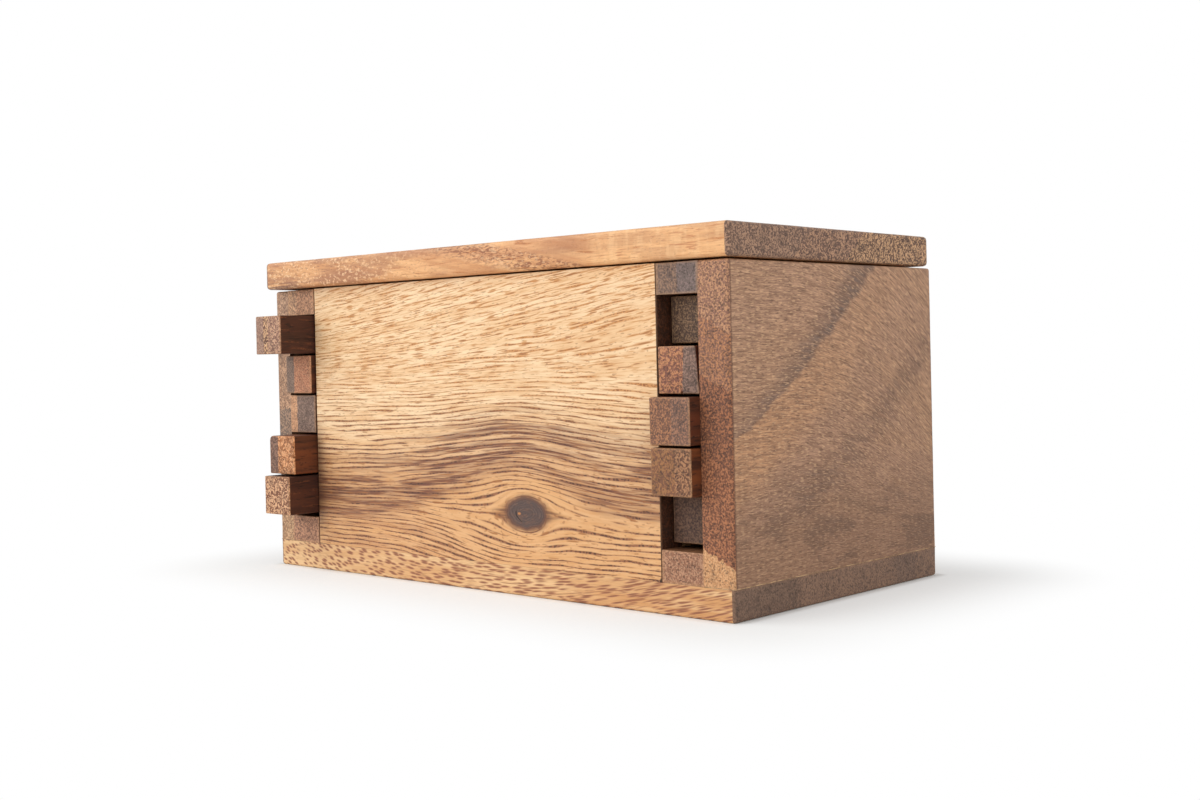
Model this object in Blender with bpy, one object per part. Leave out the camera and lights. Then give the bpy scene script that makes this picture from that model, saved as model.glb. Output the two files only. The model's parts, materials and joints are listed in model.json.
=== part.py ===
"""A wooden secret box whose lid is locked by ten sliding keys.

Five square keys lie stacked in a channel at each end of the box and slide from front to back. The
lid carries a lock bar down each channel's inner wall, and five pegs on the bar reach into the keys.
Each key has a closed groove that its peg runs in and one upright gate across that groove. The lid
lifts off only while every gate stands at its peg, and the keys stand that way here.

The origin is the centre of the base board's underside. X runs along the front, Y to the back and
Z up. Lengths are in metres.
"""

import math

import bmesh
import bpy
from mathutils import Matrix, Vector

# Driving sizes of the body
BODY_LENGTH = 0.160
BODY_DEPTH = 0.0825
BASE_THICKNESS = 0.007
LEFT_SIDE_THICKNESS = 0.0058
RIGHT_SIDE_THICKNESS = 0.0079
PANEL_THICKNESS = 0.007
INNER_WALL_THICKNESS = 0.006
RAIL_HEIGHT = 0.0069
GLUE_JOINT = 0.0003

# Driving sizes of the keys, with the stack's clearances
KEY_WIDTH = 0.0112
KEY_HEIGHT = 0.0104
KEY_SIDE_CLEARANCE = 0.0003
KEY_SPACING = 0.0005
STACK_TOP_CLEARANCE = 0.0003
STACK_BOTTOM_CLEARANCE = 0.0012

# How far a key's front end comes out of the front, and goes in behind it
KEY_MOST_OUT = 0.0122
KEY_MOST_IN = 0.0052

# Where each key stands in its travel, from all the way in to all the way out, top key first
LEFT_KEY_OUT_SHARES = (0.94, 0.385, 0.316, 0.73, 0.84)
RIGHT_KEY_OUT_SHARES = (0.04, 0.316, 0.511, 0.5, 0.086)

# Driving sizes of the lid, first what it has over the body. It is glued a little askew to its bars
LID_OVER_LENGTH = 0.0011
LID_OVER_DEPTH = 0.0006
LID_THICKNESS = 0.0075
LID_GAP = 0.0004
LID_SHIFT_LEFT = 0.0002
LID_SHIFT_FORWARD = 0.0017
LID_TWIST = math.radians(0.87)

# Driving sizes of the lock
BAR_WIDTH = 0.012
BAR_THICKNESS = 0.003
BAR_RUNNING_CLEARANCE = 0.0004
BAR_BELOW_PEG = 0.0045
MORTISE_DEPTH = 0.003
PEG_RADIUS = 0.002
PEG_REACH = 0.004
PEG_CLEARANCE = 0.0003
PEG_TIP_CLEARANCE = 0.0004
PEG_SIDES = 16
PEG_SHARP_ANGLE = math.radians(40)

# Eased edges
LID_EASE = 0.001
BODY_EASE = 0.0007
KEY_EASE = 0.0005
SLOT_EASE = 0.0003
BAR_EASE = 0.0004

# How far a cutter runs past the face that it cuts through
OVERRUN = 0.002

# Places that follow from the sizes
KEYS_PER_SIDE = len(LEFT_KEY_OUT_SHARES)
KEY_PITCH = KEY_HEIGHT + KEY_SPACING
KEY_LENGTH = BODY_DEPTH + KEY_MOST_OUT - KEY_MOST_IN
CHANNEL_WIDTH = KEY_WIDTH + 2 * KEY_SIDE_CLEARANCE
WALL_BOTTOM = BASE_THICKNESS + GLUE_JOINT
SLOT_BOTTOM = WALL_BOTTOM + RAIL_HEIGHT
SLOT_TOP = (SLOT_BOTTOM + STACK_BOTTOM_CLEARANCE + KEYS_PER_SIDE * KEY_HEIGHT
            + (KEYS_PER_SIDE - 1) * KEY_SPACING + STACK_TOP_CLEARANCE)
BODY_TOP = SLOT_TOP + RAIL_HEIGHT
LID_LENGTH = BODY_LENGTH + LID_OVER_LENGTH
LID_DEPTH = BODY_DEPTH + LID_OVER_DEPTH
LID_BOTTOM = BODY_TOP + LID_GAP
LID_TOP = LID_BOTTOM + LID_THICKNESS
TOP_KEY_HEIGHT_UP = SLOT_TOP - STACK_TOP_CLEARANCE - KEY_HEIGHT / 2
FRONT = -BODY_DEPTH / 2
BACK = BODY_DEPTH / 2
HALF_LENGTH = BODY_LENGTH / 2
LEFT_CHANNEL_OUTER = -HALF_LENGTH + LEFT_SIDE_THICKNESS
LEFT_CHANNEL_INNER = LEFT_CHANNEL_OUTER + CHANNEL_WIDTH
RIGHT_CHANNEL_OUTER = HALF_LENGTH - RIGHT_SIDE_THICKNESS
RIGHT_CHANNEL_INNER = RIGHT_CHANNEL_OUTER - CHANNEL_WIDTH

# The peg's running groove in a key, and the gate that lets the peg pass
GROOVE_DEPTH = PEG_REACH - BAR_RUNNING_CLEARANCE - KEY_SIDE_CLEARANCE + PEG_TIP_CLEARANCE
GROOVE_HEIGHT = 2 * (PEG_RADIUS + PEG_CLEARANCE)
GATE_WIDTH = GROOVE_HEIGHT
GROOVE_FRONT_END = BODY_DEPTH / 2 - KEY_MOST_IN - PEG_RADIUS - PEG_CLEARANCE
GROOVE_BACK_END = BODY_DEPTH / 2 + KEY_MOST_OUT + PEG_RADIUS + PEG_CLEARANCE
LOWEST_PEG = TOP_KEY_HEIGHT_UP - (KEYS_PER_SIDE - 1) * KEY_PITCH
BAR_BOTTOM = LOWEST_PEG - BAR_BELOW_PEG
BAR_TOP = LID_BOTTOM + MORTISE_DEPTH - GLUE_JOINT
BAR_GROOVE_DEPTH = BAR_THICKNESS + BAR_RUNNING_CLEARANCE + PEG_CLEARANCE
BAR_GROOVE_WIDTH = BAR_WIDTH + 2 * BAR_RUNNING_CLEARANCE

# Names of a box's sides, with their outward directions
SIDES = {
    "left": Vector((-1, 0, 0)), "right": Vector((1, 0, 0)),
    "front": Vector((0, -1, 0)), "back": Vector((0, 1, 0)),
    "bottom": Vector((0, 0, -1)), "top": Vector((0, 0, 1)),
}
ALL_SIDES = tuple(SIDES)


def clear_scene():
    """Remove every object, so that the script starts from nothing."""
    for obj in list(bpy.data.objects):
        bpy.data.objects.remove(obj, do_unlink=True)


def make_wood(name, colour, roughness):
    """Return a bare or oiled wood as a Principled material."""
    material = bpy.data.materials.new(name)
    material.use_nodes = True
    shader = material.node_tree.nodes["Principled BSDF"]
    shader.inputs["Base Color"].default_value = (*colour, 1.0)
    shader.inputs["Roughness"].default_value = roughness
    shader.inputs["Metallic"].default_value = 0.0
    material.diffuse_color = (*colour, 1.0)
    return material


def link(name, mesh, centre, material):
    """Put a mesh into the scene as a named object at its centre."""
    obj = bpy.data.objects.new(name, mesh)
    obj.location = centre
    obj.data.materials.append(material)
    bpy.context.scene.collection.objects.link(obj)
    return obj


def box_mesh(name, size, open_sides, ease):
    """Return a box about its own centre, with the edges between two open sides eased."""
    shape = bmesh.new()
    bmesh.ops.create_cube(shape, size=1, matrix=Matrix.Diagonal((*size, 1)))
    directions = [SIDES[side] for side in open_sides]
    open_faces = {face for face in shape.faces if any(face.normal.dot(out) > 0 for out in directions)}
    eased = [edge for edge in shape.edges if open_faces.issuperset(edge.link_faces)]
    if eased:
        bmesh.ops.bevel(shape, geom=eased, offset=ease, segments=1, affect="EDGES")
    mesh = bpy.data.meshes.new(name)
    shape.to_mesh(mesh)
    shape.free()
    return mesh


def board(name, low, high, material, open_sides=(), ease=BODY_EASE):
    """Make a straight board between two corners."""
    low, high = Vector(low), Vector(high)
    mesh = box_mesh(name, high - low, open_sides, ease)
    return link(name, mesh, (low + high) / 2, material)


def box_cutter(low, high):
    """Make a box that is only used to cut another piece."""
    low, high = Vector(low), Vector(high)
    mesh = box_mesh("cutter", high - low, (), 0)
    cutter = bpy.data.objects.new("cutter", mesh)
    cutter.location = (low + high) / 2
    return cutter


def round_mesh(name, radius, length):
    """Return a round bar along X about its own centre."""
    shape = bmesh.new()
    bmesh.ops.create_cone(shape, cap_ends=True, segments=PEG_SIDES, radius1=radius, radius2=radius,
                          depth=length, matrix=Matrix.Rotation(math.pi / 2, 4, "Y"))
    mesh = bpy.data.meshes.new(name)
    shape.to_mesh(mesh)
    shape.free()
    return mesh


def round_cutter(radius, length, centre):
    """Make a round bar along X that is only used to cut another piece."""
    cutter = bpy.data.objects.new("cutter", round_mesh("cutter", radius, length))
    cutter.location = centre
    return cutter


def cut(obj, cutters):
    """Cut the cutters out of a piece for good, and remove them."""
    for cutter in cutters:
        cutter.hide_render = True
        cutter.display_type = "WIRE"
        bpy.context.scene.collection.objects.link(cutter)
        modifier = obj.modifiers.new("cut", "BOOLEAN")
        modifier.operation = "DIFFERENCE"
        modifier.solver = "EXACT"
        modifier.object = cutter
    bpy.context.view_layer.update()
    evaluated = obj.evaluated_get(bpy.context.evaluated_depsgraph_get())
    mesh = bpy.data.meshes.new_from_object(evaluated)
    mesh.name = obj.data.name
    obj.modifiers.clear()
    obj.data = mesh
    for cutter in cutters:
        bpy.data.objects.remove(cutter, do_unlink=True)


def span(start, toward, *distances):
    """Return two X places, low first, at distances from a start in a direction of plus or minus one."""
    return sorted(start + toward * distance for distance in distances)


class End:
    """One end of the box: its name, the way outwards, its channel and where its keys stand."""

    def __init__(self, name, outwards, channel_inner, channel_outer, out_shares):
        self.name = name
        self.outwards = outwards
        self.channel_inner = channel_inner
        self.channel_outer = channel_outer
        self.out_shares = out_shares


def make_body(woods):
    """Make the base and the four panels that show."""
    board("base_board", (-HALF_LENGTH, FRONT, 0), (HALF_LENGTH, BACK, BASE_THICKNESS),
          woods["base"], ("left", "right", "front", "back", "bottom"))
    board("left_side_panel", (-HALF_LENGTH, FRONT, WALL_BOTTOM),
          (LEFT_CHANNEL_OUTER, BACK, BODY_TOP), woods["side"], ("left", "front", "back", "top"))
    board("right_side_panel", (RIGHT_CHANNEL_OUTER, FRONT, WALL_BOTTOM),
          (HALF_LENGTH, BACK, BODY_TOP), woods["side"], ("right", "front", "back", "top"))
    board("front_panel", (LEFT_CHANNEL_INNER, FRONT, WALL_BOTTOM),
          (RIGHT_CHANNEL_INNER, FRONT + PANEL_THICKNESS, BODY_TOP),
          woods["panel"], ("left", "right", "front"), SLOT_EASE)
    board("back_panel", (LEFT_CHANNEL_INNER, BACK - PANEL_THICKNESS, WALL_BOTTOM),
          (RIGHT_CHANNEL_INNER, BACK, BODY_TOP), woods["panel"], ("left", "right", "back"), SLOT_EASE)


def make_inner_wall(end, woods):
    """Make the wall beside a channel, grooved from its top for the lock bar."""
    face = end.channel_inner
    low_x, high_x = span(face, -end.outwards, 0, INNER_WALL_THICKNESS)
    inside_front = FRONT + PANEL_THICKNESS + GLUE_JOINT
    wall = board(f"{end.name}_inner_wall", (low_x, inside_front, WALL_BOTTOM),
                 (high_x, -inside_front, BODY_TOP), woods["inner"])
    low_x, high_x = span(face, -end.outwards, -OVERRUN, BAR_GROOVE_DEPTH)
    cut(wall, [box_cutter((low_x, -BAR_GROOVE_WIDTH / 2, BAR_BOTTOM - BAR_RUNNING_CLEARANCE),
                          (high_x, BAR_GROOVE_WIDTH / 2, BODY_TOP + OVERRUN))])


def make_rails(end, woods):
    """Make the blocks under and over a stack of keys, the upper one notched for the pegs."""
    low_x, high_x = sorted((end.channel_inner + end.outwards * GLUE_JOINT,
                            end.channel_outer - end.outwards * GLUE_JOINT))
    board(f"{end.name}_bottom_rail", (low_x, FRONT, WALL_BOTTOM), (high_x, BACK, SLOT_BOTTOM),
          woods["rail"])
    rail = board(f"{end.name}_top_rail", (low_x, FRONT, SLOT_TOP), (high_x, BACK, BODY_TOP),
                 woods["rail"])
    notch_depth = KEY_SIDE_CLEARANCE + GROOVE_DEPTH
    low_x, high_x = span(end.channel_inner, end.outwards, -OVERRUN, notch_depth)
    cut(rail, [box_cutter((low_x, -GATE_WIDTH / 2, SLOT_TOP - OVERRUN),
                          (high_x, GATE_WIDTH / 2, BODY_TOP + OVERRUN))])


def key_height_up(number):
    """Return the height of a key's middle, counting keys from the top."""
    return TOP_KEY_HEIGHT_UP - number * KEY_PITCH


def make_key(end, number, woods):
    """Make a key with its closed groove and its gate, standing where the gate is at the peg."""
    out = end.out_shares[number] * (KEY_MOST_OUT + KEY_MOST_IN) - KEY_MOST_IN
    key_front = FRONT - out
    middle_up = key_height_up(number)
    inner_face = end.channel_inner + end.outwards * KEY_SIDE_CLEARANCE
    low_x, high_x = span(inner_face, end.outwards, 0, KEY_WIDTH)
    key = board(f"{end.name}_key_{number + 1}", (low_x, key_front, middle_up - KEY_HEIGHT / 2),
                (high_x, key_front + KEY_LENGTH, middle_up + KEY_HEIGHT / 2),
                woods["key"], ALL_SIDES, KEY_EASE)
    low_x, high_x = span(inner_face, end.outwards, -OVERRUN, GROOVE_DEPTH)
    groove = box_cutter((low_x, key_front + GROOVE_FRONT_END, middle_up - GROOVE_HEIGHT / 2),
                        (high_x, key_front + GROOVE_BACK_END, middle_up + GROOVE_HEIGHT / 2))
    gate = box_cutter((low_x, -GATE_WIDTH / 2, middle_up - KEY_HEIGHT / 2 - OVERRUN),
                      (high_x, GATE_WIDTH / 2, middle_up + KEY_HEIGHT / 2 + OVERRUN))
    cut(key, [groove, gate])


def bar_span(end):
    """Return the low and high X of a lock bar in its groove."""
    return span(end.channel_inner, -end.outwards, BAR_RUNNING_CLEARANCE,
                BAR_RUNNING_CLEARANCE + BAR_THICKNESS)


def make_lock_bar(end, woods, lid_joint):
    """Make a bar that hangs from the lid, bored for its pegs."""
    low_x, high_x = bar_span(end)
    bar = board(f"{end.name}_lock_bar", (low_x, -BAR_WIDTH / 2, BAR_BOTTOM),
                (high_x, BAR_WIDTH / 2, BAR_TOP), woods["lock"], ALL_SIDES, BAR_EASE)
    bore_radius = PEG_RADIUS + GLUE_JOINT
    bore_length = BAR_THICKNESS + 2 * OVERRUN
    cut(bar, [round_cutter(bore_radius, bore_length, ((low_x + high_x) / 2, 0, key_height_up(number)))
              for number in range(KEYS_PER_SIDE)])
    carry(bar, lid_joint)


def make_lock_pegs(end, woods, lid_joint):
    """Make a bar's round pegs, which reach through the bar and into the keys."""
    length = BAR_THICKNESS + PEG_REACH
    low_x, high_x = bar_span(end)
    bar_back = low_x if end.outwards > 0 else high_x
    centre_x = bar_back + end.outwards * length / 2
    mesh = round_mesh("lock_peg", PEG_RADIUS, length)
    mesh.shade_smooth()
    mesh.set_sharp_from_angle(angle=PEG_SHARP_ANGLE)
    for number in range(KEYS_PER_SIDE):
        peg = link(f"{end.name}_lock_peg_{number + 1}", mesh.copy(),
                   (centre_x, 0, key_height_up(number)), woods["lock"])
        carry(peg, lid_joint)


def make_lid(ends, woods, lid_joint):
    """Make the lid, turned a little, with a mortise for each lock bar."""
    centre = Vector((-LID_SHIFT_LEFT, -LID_SHIFT_FORWARD, (LID_BOTTOM + LID_TOP) / 2))
    mesh = box_mesh("lid_board", (LID_LENGTH, LID_DEPTH, LID_THICKNESS), ALL_SIDES, LID_EASE)
    lid = link("lid_board", mesh, centre, woods["lid"])
    lid.rotation_euler = (0, 0, LID_TWIST)
    cutters = []
    for end in ends:
        low_x, high_x = bar_span(end)
        cutters.append(box_cutter((low_x - GLUE_JOINT, -BAR_WIDTH / 2 - GLUE_JOINT, LID_BOTTOM - OVERRUN),
                                  (high_x + GLUE_JOINT, BAR_WIDTH / 2 + GLUE_JOINT,
                                   LID_BOTTOM + MORTISE_DEPTH)))
    cut(lid, cutters)
    carry(lid, lid_joint)


def carry(piece, joint):
    """Hang a piece on a joint's empty without moving it."""
    piece.parent = joint
    piece.matrix_parent_inverse = Matrix.Translation(joint.location).inverted()


def main():
    clear_scene()
    woods = {
        "base": make_wood("pale_base_wood", (0.47, 0.27, 0.12), 0.6),
        "side": make_wood("brown_side_wood", (0.27, 0.16, 0.10), 0.6),
        "panel": make_wood("golden_panel_wood", (0.80, 0.55, 0.27), 0.55),
        "rail": make_wood("grey_brown_rail_wood", (0.25, 0.17, 0.13), 0.65),
        "key": make_wood("oiled_key_wood", (0.22, 0.12, 0.07), 0.55),
        "lid": make_wood("orange_brown_lid_wood", (0.45, 0.22, 0.09), 0.55),
        "inner": make_wood("plain_inner_wood", (0.52, 0.34, 0.19), 0.65),
        "lock": make_wood("pale_lock_wood", (0.62, 0.44, 0.26), 0.6),
    }
    ends = (End("left", -1, LEFT_CHANNEL_INNER, LEFT_CHANNEL_OUTER, LEFT_KEY_OUT_SHARES),
            End("right", 1, RIGHT_CHANNEL_INNER, RIGHT_CHANNEL_OUTER, RIGHT_KEY_OUT_SHARES))
    lid_joint = bpy.data.objects.new("lid_joint", None)
    lid_joint.location = (0, 0, LID_BOTTOM)
    bpy.context.scene.collection.objects.link(lid_joint)
    make_body(woods)
    for end in ends:
        make_inner_wall(end, woods)
        make_rails(end, woods)
        for number in range(KEYS_PER_SIDE):
            make_key(end, number, woods)
        make_lock_bar(end, woods, lid_joint)
        make_lock_pegs(end, woods, lid_joint)
    make_lid(ends, woods, lid_joint)


main()
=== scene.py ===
"""The finish, light and camera of a wooden secret box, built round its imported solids.

Every board, rail, key and lock piece is modelled over its solid, with sanded edges, cut grooves and
closed glue joints. Each wood then gets its long grain, its end grain and its streaks, and the front
panel its knot. Shapes are in metres. Patterns are in millimetres.
"""

import json
import math
from dataclasses import dataclass, replace

import bpy
from bpy.props import FloatProperty, FloatVectorProperty, PointerProperty
from mathutils import Matrix, Vector


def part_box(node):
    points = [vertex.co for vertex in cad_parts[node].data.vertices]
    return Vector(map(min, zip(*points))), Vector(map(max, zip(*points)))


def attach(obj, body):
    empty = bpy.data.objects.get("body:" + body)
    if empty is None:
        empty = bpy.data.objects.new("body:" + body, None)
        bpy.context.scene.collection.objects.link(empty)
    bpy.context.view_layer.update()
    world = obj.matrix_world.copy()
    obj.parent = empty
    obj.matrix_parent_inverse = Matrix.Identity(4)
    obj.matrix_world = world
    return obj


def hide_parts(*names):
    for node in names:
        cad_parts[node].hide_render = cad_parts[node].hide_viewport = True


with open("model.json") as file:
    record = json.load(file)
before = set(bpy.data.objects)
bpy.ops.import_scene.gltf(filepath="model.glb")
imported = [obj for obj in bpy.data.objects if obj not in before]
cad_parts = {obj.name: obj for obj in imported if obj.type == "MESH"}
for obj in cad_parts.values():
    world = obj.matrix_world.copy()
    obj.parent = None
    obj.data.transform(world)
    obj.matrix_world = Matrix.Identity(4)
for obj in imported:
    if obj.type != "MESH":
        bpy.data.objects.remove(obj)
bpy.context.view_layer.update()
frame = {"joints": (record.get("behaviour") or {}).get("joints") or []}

bl_info = {
    "name": "Secret Box Finish",
    "version": (1, 0, 0),
    "blender": (4, 5, 0),
    "location": "View3D > Sidebar > Secret Box",
    "description": "Models and finishes the boards, keys and lock of a wooden secret box",
    "category": "Object",
}

MM = 0.001

ENDS = ("left", "right")
KEY_NUMBERS = range(1, 6)
JOINTS = {joint["child"]: joint for joint in frame["joints"]}

# The outward direction of each side of a board, as an axis and a sign
SIDES = {
    "left": (0, -1), "right": (0, 1), "front": (1, -1), "back": (1, 1), "bottom": (2, -1), "top": (2, 1),
}
EVERY_SIDE = tuple(SIDES)

# The side of a piece at one end of the box that faces the middle
INNER = {"left": "right", "right": "left"}

# Points nearer than this lie in one place
SAME_PLACE = 0.001 * MM

# Segments across a sanded edge, and the width of the hollows that sanding by hand leaves
EDGE_SEGMENTS = 3
SANDING_SCALE = 9 * MM

# An edge is eased over the first angle, and shades as sharp over the second
SHARP_ANGLE = math.radians(50)
SHADE_ANGLE = math.radians(40)

# How far a face's normal turns towards an end before the face takes the end's material
END_TURN = 0.2

# The front panel's outer face, in millimetres
FRONT_FACE = -41.25


def linear(hex_colour):
    """Turn an sRGB hex colour into linear red, green and blue, with an alpha of one."""
    channels = [int(hex_colour[start:start + 2], 16) / 255 for start in (1, 3, 5)]
    bright = [c / 12.92 if c <= 0.04045 else ((c + 0.055) / 1.055) ** 2.4 for c in channels]
    return (*bright, 1.0)


def length_prop(name, description, default):
    """Describe a length that a user may change."""
    return FloatProperty(name=name, description=description, default=default, min=0.0, unit="LENGTH",
                         precision=5)


def colour_prop(name, description, hex_colour):
    """Describe a colour that a user may change."""
    return FloatVectorProperty(name=name, description=description, default=linear(hex_colour),
                               subtype="COLOR", size=4, min=0.0, max=1.0)


class SecretBoxSizes(bpy.types.PropertyGroup):
    """Sizes of the sanded edges, the joints and the cuts in the pieces."""

    body_ease: length_prop("Body edge", "Radius of the body's sanded outer edges", 0.7 * MM)
    lid_ease: length_prop("Lid edge", "Radius of the lid's sanded edges", 1.0 * MM)
    key_ease: length_prop("Key edge", "Radius of a key's sanded edges", 0.35 * MM)
    slot_ease: length_prop("Slot edge", "Radius of the panels' edges beside the keys", 0.3 * MM)
    lock_ease: length_prop("Lock edge", "Radius of a lock bar's edges", 0.4 * MM)
    tight_joint: length_prop("Tight joint", "Gap in a glued joint that shows no glue", 0.04 * MM)
    glue_line: length_prop("Glue line", "Height of the glue line under a side panel", 0.2 * MM)
    cell: length_prop("Cell", "Spacing of the points that carry a board's unevenness", 3.0 * MM)
    unevenness: length_prop("Unevenness", "Depth that hand sanding leaves in a face", 0.07 * MM)
    overrun: length_prop("Overrun", "How far a cutter runs past the face it cuts", 1.0 * MM)
    peg_way: length_prop("Peg way", "Width of the grooves and gates that a peg runs through", 4.6 * MM)
    groove_depth: length_prop("Groove depth", "Depth of the grooves and gates", 3.7 * MM)


class SecretBoxColours(bpy.types.PropertyGroup):
    """Colours of the woods and of the glue."""

    panel_light: colour_prop("Panel, light", "Pale ground of the golden panels", "#FBDDB4")
    panel_deep: colour_prop("Panel, deep", "Deeper gold between the pale parts", "#EDC392")
    panel_low: colour_prop("Panel, low", "Orange gold of the front panel's lower part", "#DFA76E")
    panel_streak: colour_prop("Panel, streak", "Purplish-brown heartwood haze of the panels", "#6E4034")
    line_soft: colour_prop("Line, soft", "Tan of the lines that the pores lie in", "#CA8A4C")
    line_dark: colour_prop("Line, dark", "Brown of those lines in the heartwood", "#905C40")
    pore_dark: colour_prop("Pore, dark", "Dark pores", "#4A3028")
    knot_heart: colour_prop("Knot, heart", "Grey-brown heart of the knot", "#5A4843")
    knot_rim: colour_prop("Knot, rim", "Brown rim of the knot", "#6C4434")
    side_light: colour_prop("Side, light", "Tan of the brown end boards", "#C09472")
    side_mid: colour_prop("Side, middle", "Brown of the end boards", "#B88E72")
    side_deep: colour_prop("Side, deep", "Deeper brown low on the end boards", "#8E6B54")
    side_streak: colour_prop("Side, streak", "Grey heartwood band of the end boards", "#685852")
    lid_light: colour_prop("Lid, light", "Gold of the lid", "#F2BC84")
    lid_deep: colour_prop("Lid, deep", "Reddish brown of the lid", "#DAA072")
    lid_streak: colour_prop("Lid, streak", "Purple-brown patches of the lid", "#98634A")
    base_light: colour_prop("Base, light", "Pale ground of the base", "#EEC795")
    base_deep: colour_prop("Base, deep", "Tan of the base", "#DCA974")
    inner_light: colour_prop("Inside, light", "Pale ground of the inner walls", "#C79C70")
    inner_deep: colour_prop("Inside, deep", "Deeper tan of the inner walls", "#A67A50")
    lock_light: colour_prop("Lock, light", "Pale hardwood of the lock bars and pegs", "#E0C196")
    lock_deep: colour_prop("Lock, deep", "Deeper tone of the lock bars and pegs", "#CCA26C")
    glue: colour_prop("Glue", "Dried wood glue in a joint", "#D6B286")


class SecretBoxStage(bpy.types.PropertyGroup):
    """Light round the box."""

    main_power: FloatProperty(name="Main lamp", description="Power of the large lamp at the left",
                              default=12.2, min=0.0, unit="POWER")
    fill_power: FloatProperty(name="Fill lamp", description="Power of the soft lamp at the right",
                              default=4.8, min=0.0, unit="POWER")
    ambient: FloatProperty(name="Ambient", description="Strength of the white surroundings",
                           default=0.55, min=0.0)


# The setting that the word after the point in a node's kind gives
CHOICES = {
    "Math": "operation", "VectorMath": "operation", "MapRange": "interpolation_type", "Mix": "data_type",
}


def first_output(node):
    """Return a node's first open output."""
    return next(output for output in node.outputs if output.enabled)


def add_node(tree, kind, *inputs, stops=(), **settings):
    """Add a shader node with its settings and links.

    A kind may name its main setting after a point, such as Math.MULTIPLY. Inputs go to the open
    sockets in order, or to those that a dict names. A node given as an input stands for its first
    open output. Stops are the places and colours of a colour ramp.
    """
    kind, _, choice = kind.partition(".")
    node = tree.nodes.new("ShaderNode" + kind)
    if choice:
        settings[CHOICES[kind]] = choice
    for name, value in settings.items():
        setattr(node, name, value)
    for number, (place, colour) in enumerate(stops):
        elements = node.color_ramp.elements
        element = elements[number] if number < len(elements) else elements.new(place)
        element.position = place
        element.color = colour
    sockets = [socket for socket in node.inputs if socket.enabled]
    by_name = inputs and isinstance(inputs[0], dict)
    for key, value in inputs[0].items() if by_name else enumerate(inputs):
        socket = next(s for s in sockets if s.name == key) if by_name else sockets[key]
        if isinstance(value, bpy.types.Node):
            value = first_output(value)
        if isinstance(value, bpy.types.NodeSocket):
            tree.links.new(value, socket)
        else:
            socket.default_value = value
    return node


def as_colour(value):
    """Return a colour for a socket from a hex text or a property."""
    return linear(value) if isinstance(value, str) else tuple(value)


def grain_size(along, length, width):
    """Return a pattern's size as a vector, long on the axis that the grain runs along."""
    return tuple(length if axis == along else width for axis in range(3))


class Finish:
    """A finish in the making: its nodes, and the colour and the height that are laid so far.

    Places and heights are in millimetres, and a mask runs from nought to one.
    """

    def __init__(self, name, ground, roughness=0.5):
        self.material = bpy.data.materials.new(name)
        self.material.use_nodes = True
        self.tree = self.material.node_tree
        self.shader = self.tree.nodes["Principled BSDF"]
        self.shader.inputs["Roughness"].default_value = roughness
        self.shader.inputs["Specular IOR Level"].default_value = 0.35
        self.place = self.add("VectorMath.MULTIPLY", self.add("TexCoord").outputs["Object"],
                              (1 / MM, 1 / MM, 1 / MM))
        self.colour = as_colour(ground)
        self.height = 0.0

    def add(self, kind, *inputs, **settings):
        """Add a node to this finish."""
        return add_node(self.tree, kind, *inputs, **settings)

    def noise(self, place, size, **inputs):
        """Return a noise with lumps of a given size."""
        where = self.add("VectorMath.DIVIDE", place, size)
        return self.add("TexNoise", {"Vector": where, "Scale": 1.0, **inputs})

    def spots(self, size, low, high, detail=2.0, place=None, maze=0.0):
        """Return a mask of soft-edged spots of a given size."""
        place = self.place if place is None else place
        noise = self.noise(place, size, Detail=detail, Distortion=maze)
        return self.add("MapRange.SMOOTHSTEP", noise, low, high)

    def product(self, value, *others):
        """Return the product of some values, which for masks is what they all share."""
        for other in others:
            value = self.add("Math.MULTIPLY", value, other)
        return value

    def lay(self, colour, share, *masks):
        """Lay a share of a colour where all the masks are high."""
        colour = colour if isinstance(colour, bpy.types.Node) else as_colour(colour)
        self.colour = self.add("Mix.RGBA", self.product(*masks, share), self.colour, colour)

    def cut(self, mask, depth):
        """Sink the surface where a mask is high."""
        self.height = self.add("Math.MULTIPLY_ADD", mask, -depth, self.height)

    def done(self):
        """Join the colour and the height to the shader."""
        bump = self.add("Bump", {"Strength": 1.0, "Distance": MM, "Height": self.height})
        self.tree.links.new(bump.outputs[0], self.shader.inputs["Normal"])
        self.tree.links.new(first_output(self.colour), self.shader.inputs["Base Color"])
        return self.material


@dataclass
class Wood:
    """Colours of one wood's long grain, and its pattern sizes in millimetres.

    Pith is where the middle of the tree lies, and shift takes a board from another part of it.
    """

    light: object
    deep: object
    streak: object
    line: object = "#C48F5E"
    pore: object = "#5B3F32"
    spacing: float = 1.7
    run: float = 8.0
    fullness: float = 0.45
    pith: tuple = (0.0, 9.0, -45.0)
    dash: float = 3.0
    dash_share: float = 0.5
    streak_width: float = 5.0
    streak_share: float = 0.35
    shift: float = 0.0


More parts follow.
